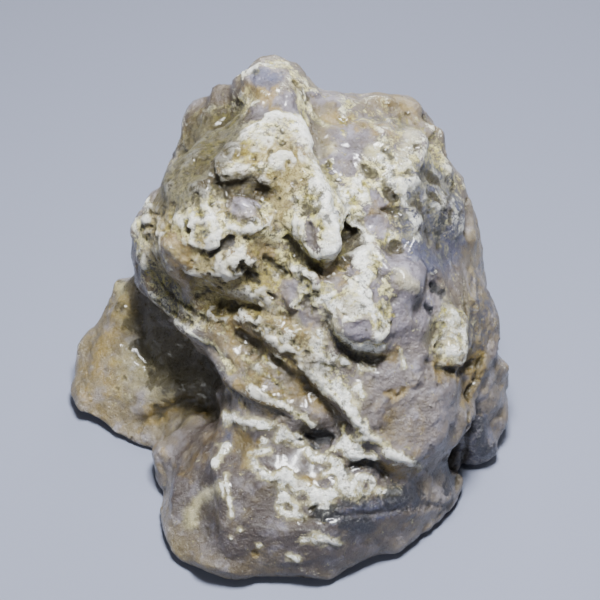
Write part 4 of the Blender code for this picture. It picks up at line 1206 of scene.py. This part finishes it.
@dataclass(frozen=True)
class StoneFinish:
    """The finish of the stone: what its colours are and how rough its two surfaces are.

    Attributes:
        quartz: The quartz where nothing tints it.
        lilac: Its lavender tint.
        smoke_and_shade: The brown, smoky quartz of the foot, darker there also as painted shade.
        tan: The warm wax colour of its thin edges.
        cloud: The pale clouds inside it.
        umber: The dark ones.
        cream: The rind.
        chalk: The rind where it is whitest.
        straw: The rind where it is yellow.
        grime: The grey-brown speckle of the rind.
        ochre: Iron stains.
        slate: The blue-grey film.
        dirt_and_shade: The dirt of cracks and specks, and the painted shade of hollows, sheltered places
            and the overhang's shadow.
        ink: Manganese, nearly black.
        rind_roughness: How rough the rind is.
        quartz_roughness: How rough the quartz is.
        coat_roughness: How rough the polish is that wind and sand have left.
        refraction: How strongly the quartz bends light.
        glow: How much light enters the stone and comes out beside.
        glow_reach: How far red, green and blue light travel in it, in metres.
        bump_height: The metres that the finest relief stands for.
    """

    quartz: Colour = shade(97, 88, 77)
    lilac: Colour = shade(95, 89, 97)
    smoke_and_shade: Colour = shade(52, 43, 39)
    tan: Colour = shade(103, 91, 62)
    cloud: Colour = shade(146, 143, 156)
    umber: Colour = shade(46, 39, 28)
    cream: Colour = shade(228, 219, 160)
    chalk: Colour = shade(252, 252, 246)
    straw: Colour = shade(172, 162, 58)
    grime: Colour = shade(54, 51, 44)
    ochre: Colour = shade(118, 97, 30)
    slate: Colour = shade(45, 51, 76)
    dirt_and_shade: Colour = shade(44, 37, 14)
    ink: Colour = shade(16, 17, 24)
    rind_roughness: float = 0.55
    quartz_roughness: float = 0.32
    coat_roughness: float = 0.18
    refraction: float = 1.54
    glow: float = 0.16
    glow_reach: tuple[float, float, float] = (0.0014, 0.0012, 0.001)
    bump_height: float = 1.3 * MM

    def material(self) -> bpy.types.Material:
        """The stone's material.

        Returns:
            A material with one Principled shader.
        """
        material = bpy.data.materials.new("stone_surface")
        material.use_nodes = True
        board = Board(material)
        shader = board.nodes["Principled BSDF"]
        fine = board.grain(0.8, 6.0, 0.7)
        coarse = board.grain(4.0, 5.0, 0.6, 0.5)
        folds = board.apart(board.grain(1.0, 6.0, 0.72, 0.4), 0.5)
        spread = board.times(board.stain(Stain.RIND), 0.92)
        rind = board.patches(spread, board.grain(1.3, 9.0, 0.82, 0.5), 4.2, 0.09)
        colour = self._quartz(board, coarse)
        colour = board.lay(colour, self._rind(board, folds, coarse), rind)
        colour = self._stains(board, colour, rind)
        board.feed(shader.inputs["Base Color"], colour)
        gloss = board.span(fine, 0.3, 0.7, self.quartz_roughness - 0.08, self.quartz_roughness + 0.1)
        rough = board.span(rind, 0.0, 1.0, gloss, self.rind_roughness)
        board.feed(shader.inputs["Roughness"], rough)
        board.feed(shader.inputs["Coat Weight"], board.span(rind, 0.0, 1.0, 0.4, 0.15))
        shader.inputs["Coat Roughness"].default_value = self.coat_roughness
        shader.inputs["IOR"].default_value = self.refraction
        shader.inputs["Subsurface Weight"].default_value = self.glow
        shader.inputs["Subsurface Radius"].default_value = self.glow_reach
        shader.inputs["Subsurface Scale"].default_value = 1.0
        self._bump(board, shader, rind, folds)
        return material

    def _quartz(self, board: Board, coarse: Socket) -> Socket:
        """The colour of the bare quartz: clouded, streaked and speckled, with smoke that on the foot is
        also painted shade, and white frost that is partly painted glints.
        """
        colour = board.lay(self.quartz, self.lilac, board.stain(Stain.LILAC))
        colour = board.lay(colour, self.tan, board.patches(board.stain(Stain.TAN), coarse, 1.4, 0.35))
        # Smoky quartz, which on the foot is also painted shade
        colour = board.lay(colour, self.smoke_and_shade, board.stain(Stain.SMOKE))
        colour = board.lay(colour, self.cloud, board.span(coarse, 0.5, 0.72, 0.0, 0.4))
        colour = board.lay(colour, self.umber, board.span(coarse, 0.48, 0.3, 0.0, 0.5))
        veil = board.grain(2.6, 6.0, 0.6, 0.3)
        colour = board.lay(colour, self.cloud, board.span(veil, 0.52, 0.74, 0.0, 0.5))
        colour = board.lay(colour, self.umber, board.span(veil, 0.47, 0.28, 0.0, 0.5))
        colour = board.lay(colour, self.smoke_and_shade, board.times(board.stain(Stain.SMOKE), 0.4))
        warm = board.grain(3.4, 4.0, 0.55, 0.2)
        colour = board.lay(colour, self.tan, board.span(warm, 0.5, 0.72, 0.0, 0.36))
        pale = board.lay(colour, self.cream, board.times(board.stain(Stain.CHALK), 0.5))
        pale = board.lay(pale, self.umber, self._specks(board, 0.9, 0.93, 0.3))
        # White frost specks on the quartz, partly painted glints
        frost_and_glints = board.span(board.grain(0.5, 6.0, 0.78, 0.5), 0.66, 0.7, 0.0, 0.55)
        return board.lay(pale, self.chalk, frost_and_glints)

    def _rind(self, board: Board, folds: Socket, coarse: Socket) -> Socket:
        """The colour of the rind: cream, straw and white, with dirt between its folds and in hairlines."""
        colour = board.lay(self.cream, self.straw, board.span(coarse, 0.44, 0.62, 0.0, 0.85))
        veil = board.grain(1.2, 8.0, 0.78, 0.8)
        colour = board.lay(colour, self.cloud, board.span(veil, 0.49, 0.6, 0.0, 0.7))
        chalk = board.patches(board.stain(Stain.CHALK), board.grain(0.9, 7.0, 0.78), 2.6, 0.25)
        colour = board.lay(colour, self.chalk, board.times(chalk, 0.9))
        clean = board.minus(1.0, board.times(board.stain(Stain.CHALK), 0.3))
        dirty = board.span(board.grain(0.5, 6.0, 0.8, 0.6), 0.52, 0.6, 0.0, 0.75)
        dirty = board.larger(dirty, board.span(folds, 0.06, 0.13, 0.0, 0.8))
        streaks = board.span(board.grain(0.5, 3.0, 0.6, 0.4, tall=4.0), 0.58, 0.66, 0.0, 0.75)
        dirty = board.larger(dirty, streaks)
        colour = board.lay(colour, self.grime, board.times(dirty, clean))
        pepper = board.span(board.grain(0.32, 4.0, 0.7, 0.3), 0.6, 0.65, 0.0, 0.85)
        colour = board.lay(colour, self.dirt_and_shade, board.times(pepper, clean))
        return board.lay(colour, self.dirt_and_shade, self._hairlines(board))

    def _specks(self, board: Board, size: float, rare: float, reach: float) -> Socket:
        """Small dark specks.

        Args:
            board: The material's nodes.
            size: Millimetres between the places where one may be.
            rare: The part of those places that stays empty.
            reach: How far a speck reaches, as a part of the size.

        Returns:
            From 0 beside the specks to 1 on them.
        """
        node = board.nodes.new("ShaderNodeTexVoronoi")
        bent = board.nodes.new("ShaderNodeVectorMath")
        bent.operation = "ADD"
        wobble = board.nodes.new("ShaderNodeTexNoise")
        board.links.new(board.place, wobble.inputs["Vector"])
        wobble.inputs["Scale"].default_value = 1.0 / (0.5 * MM)
        shift = board.nodes.new("ShaderNodeVectorMath")
        shift.operation = "SCALE"
        board.links.new(wobble.outputs["Color"], shift.inputs[0])
        shift.inputs["Scale"].default_value = 0.5 * MM
        board.links.new(board.place, bent.inputs[0])
        board.links.new(shift.outputs["Vector"], bent.inputs[1])
        board.links.new(bent.outputs["Vector"], node.inputs["Vector"])
        node.inputs["Scale"].default_value = 1.0 / (size * MM)
        parts = board.nodes.new("ShaderNodeSeparateColor")
        board.links.new(node.outputs["Color"], parts.inputs["Color"])
        kept = board.span(parts.outputs["Red"], rare, rare + 0.02)
        spot = board.span(node.outputs["Distance"], reach, reach * 0.6, 0.0, 0.85)
        return board.times(kept, spot)

    def _hairlines(self, board: Board) -> Socket:
        """Broken hairlines, from 0 beside them to 1 on them."""
        wander = board.grain(1.7, 3.0, 0.6, 0.6)
        line = board.span(board.apart(wander, 0.5), 0.01, 0.003, 0.0, 0.7)
        return board.times(line, board.span(board.grain(2.4, 2.0), 0.5, 0.56))

    def _stains(self, board: Board, colour: Socket, rind: Socket) -> Socket:
        """The colour with its iron and manganese stains, dirt in its cracks, and painted shade in its
        hollows, in sheltered places and under the overhang.
        """
        ochre = board.patches(board.stain(Stain.OCHRE), board.grain(1.8, 6.0, 0.68), 2.0, 0.4)
        colour = board.lay(colour, self.ochre, board.times(ochre, 0.66))
        slate = board.patches(board.stain(Stain.SLATE), board.grain(0.9, 7.0, 0.76, 0.3), 3.0, 0.2)
        colour = board.lay(colour, self.slate, board.times(slate, 0.72))
        # Painted shade: olive laid in the skin's hollows
        hollow = board.span(board.stain(Stain.HOLLOW), 0.55, 0.9, 0.0, 0.62)
        colour = board.lay(colour, self.dirt_and_shade, hollow)
        edge = board.span(board.stain(Stain.HOLLOW), 0.42, 0.1, 0.0, 0.6)
        colour = board.lay(colour, self.chalk, board.times(edge, rind))
        # Painted shade: olive laid where the stone closes round the skin
        shelter_shade = board.span(board.stain(Stain.SHELTER), 0.2, 0.65, 0.0, 0.7)
        colour = board.lay(colour, self.dirt_and_shade, shelter_shade)
        # Painted shadow and shade: olive laid where SHADE lies
        dark = board.patches(board.stain(Stain.SHADE), board.grain(1.6, 7.0, 0.76, 0.4), 1.8, 0.3)
        colour = board.lay(colour, self.dirt_and_shade, board.times(dark, 0.8))
        seam = board.patches(board.stain(Stain.SEAM), board.grain(0.45, 5.0, 0.78), 3.2, 0.3)
        colour = board.lay(colour, self.dirt_and_shade, board.times(seam, 0.8))
        ink = board.patches(board.stain(Stain.INK), board.grain(0.8, 7.0, 0.76, 0.3), 2.6, 0.18)
        return board.lay(colour, self.ink, board.times(ink, 0.9))

    def _bump(self, board: Board, shader: bpy.types.Node, rind: Socket, folds: Socket) -> None:
        """The finest relief in millimetres: sharp folds on the rind, low swells on the quartz."""
        height = board.times(folds, board.span(rind, 0.0, 1.0, -0.25, -1.5))
        height = board.plus(height, board.times(board.grain(1.2, 7.0, 0.66), 0.4))
        streaks = board.grain(0.6, 4.0, 0.6, 0.3, tall=4.0)
        height = board.plus(height, board.times(streaks, 0.16))
        height = board.plus(height, board.times(rind, 0.14))
        bump = board.nodes.new("ShaderNodeBump")
        bump.inputs["Distance"].default_value = self.bump_height
        board.feed(bump.inputs["Height"], height)
        board.feed(shader.inputs["Normal"], bump.outputs["Normal"])


@dataclass
class Studio:
    """The floor, the lights and the camera.

    Attributes:
        floor: The floor's colour.
        floor_side: The floor's side in metres.
        floor_roughness: How rough the floor is.
        lamp: The colour of the lamps.
        sky: The colour of the light from all round.
        sky_strength: How strong it is.
    """

    floor: Colour = shade(106, 110, 126)
    floor_side: float = 3.0
    floor_roughness: float = 0.9
    lamp: Colour = (0.96, 0.98, 1.0)
    sky: Colour = (0.95, 0.96, 1.0)
    sky_strength: float = 0.14

    def build(self) -> None:
        """Lays the floor, hangs the lights and sets up the camera."""
        bpy.ops.object.select_all(action="DESELECT")
        bpy.ops.mesh.primitive_plane_add(size=self.floor_side)
        ground = bpy.context.object
        ground.name = "floor"
        material = bpy.data.materials.new("floor")
        material.use_nodes = True
        shader = material.node_tree.nodes["Principled BSDF"]
        shader.inputs["Base Color"].default_value = (*self.floor, 1.0)
        shader.inputs["Roughness"].default_value = self.floor_roughness
        ground.data.materials.append(material)
        self._light("key", (0.01, -0.03, 0.25), 0.06, 2.7)
        self._light("fill", (-0.16, -0.40, 0.26), 0.20, 0.7)
        self._light("back", (0.12, 0.42, 0.20), 0.30, 1.5)
        self._world()
        self._camera()

    def _light(self, name: str, place: tuple[float, float, float], side: float, watts: float) -> None:
        """Hangs a square light that faces the stone.

        Args:
            name: What the light is called.
            place: Where it hangs, in metres.
            side: Its side in metres.
            watts: Its power.
        """
        lamp = bpy.data.lights.new(name, "AREA")
        lamp.size = side
        lamp.energy = watts
        lamp.color = self.lamp
        holder = bpy.data.objects.new(name, lamp)
        bpy.context.scene.collection.objects.link(holder)
        holder.location = place
        facing = Vector(VIEW_MIDDLE * MM) - Vector(place)
        holder.rotation_euler = facing.to_track_quat("-Z", "Y").to_euler()

    def _world(self) -> None:
        """Lights the stone evenly and faintly from all round."""
        world = bpy.data.worlds.new("room")
        world.use_nodes = True
        background = world.node_tree.nodes["Background"]
        background.inputs["Color"].default_value = (*self.sky, 1.0)
        background.inputs["Strength"].default_value = self.sky_strength
        bpy.context.scene.world = world

    def _camera(self) -> None:
        """Looks at the stone as its front viewer does."""
        lens = bpy.data.cameras.new("camera")
        camera = bpy.data.objects.new("camera", lens)
        bpy.context.scene.collection.objects.link(camera)
        camera.location = Vector((VIEW_MIDDLE + VIEW_REACH * FRONT.near) * MM)
        camera.rotation_euler = (-Vector(FRONT.near)).to_track_quat("-Z", "Y").to_euler()
        lens.lens = lens.sensor_width * VIEW_REACH / VIEW_FIELD
        lens.clip_start = 0.01
        bpy.context.scene.camera = camera


def main() -> None:
    """Builds the stone's surface and the studio round it."""
    logging.basicConfig(level=logging.INFO, format="%(name)s: %(message)s")
    noise.seed_set(WEATHER_SEED)
    skin = StoneSkin()
    piece = skin.build()
    piece.data.materials.clear()
    piece.data.materials.append(StoneFinish().material())
    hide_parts(skin.node)
    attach(piece, "root")
    LOG.info("%s has %d faces", piece.name, len(piece.data.polygons))
    Studio().build()


if __name__ == "__main__":
    main()
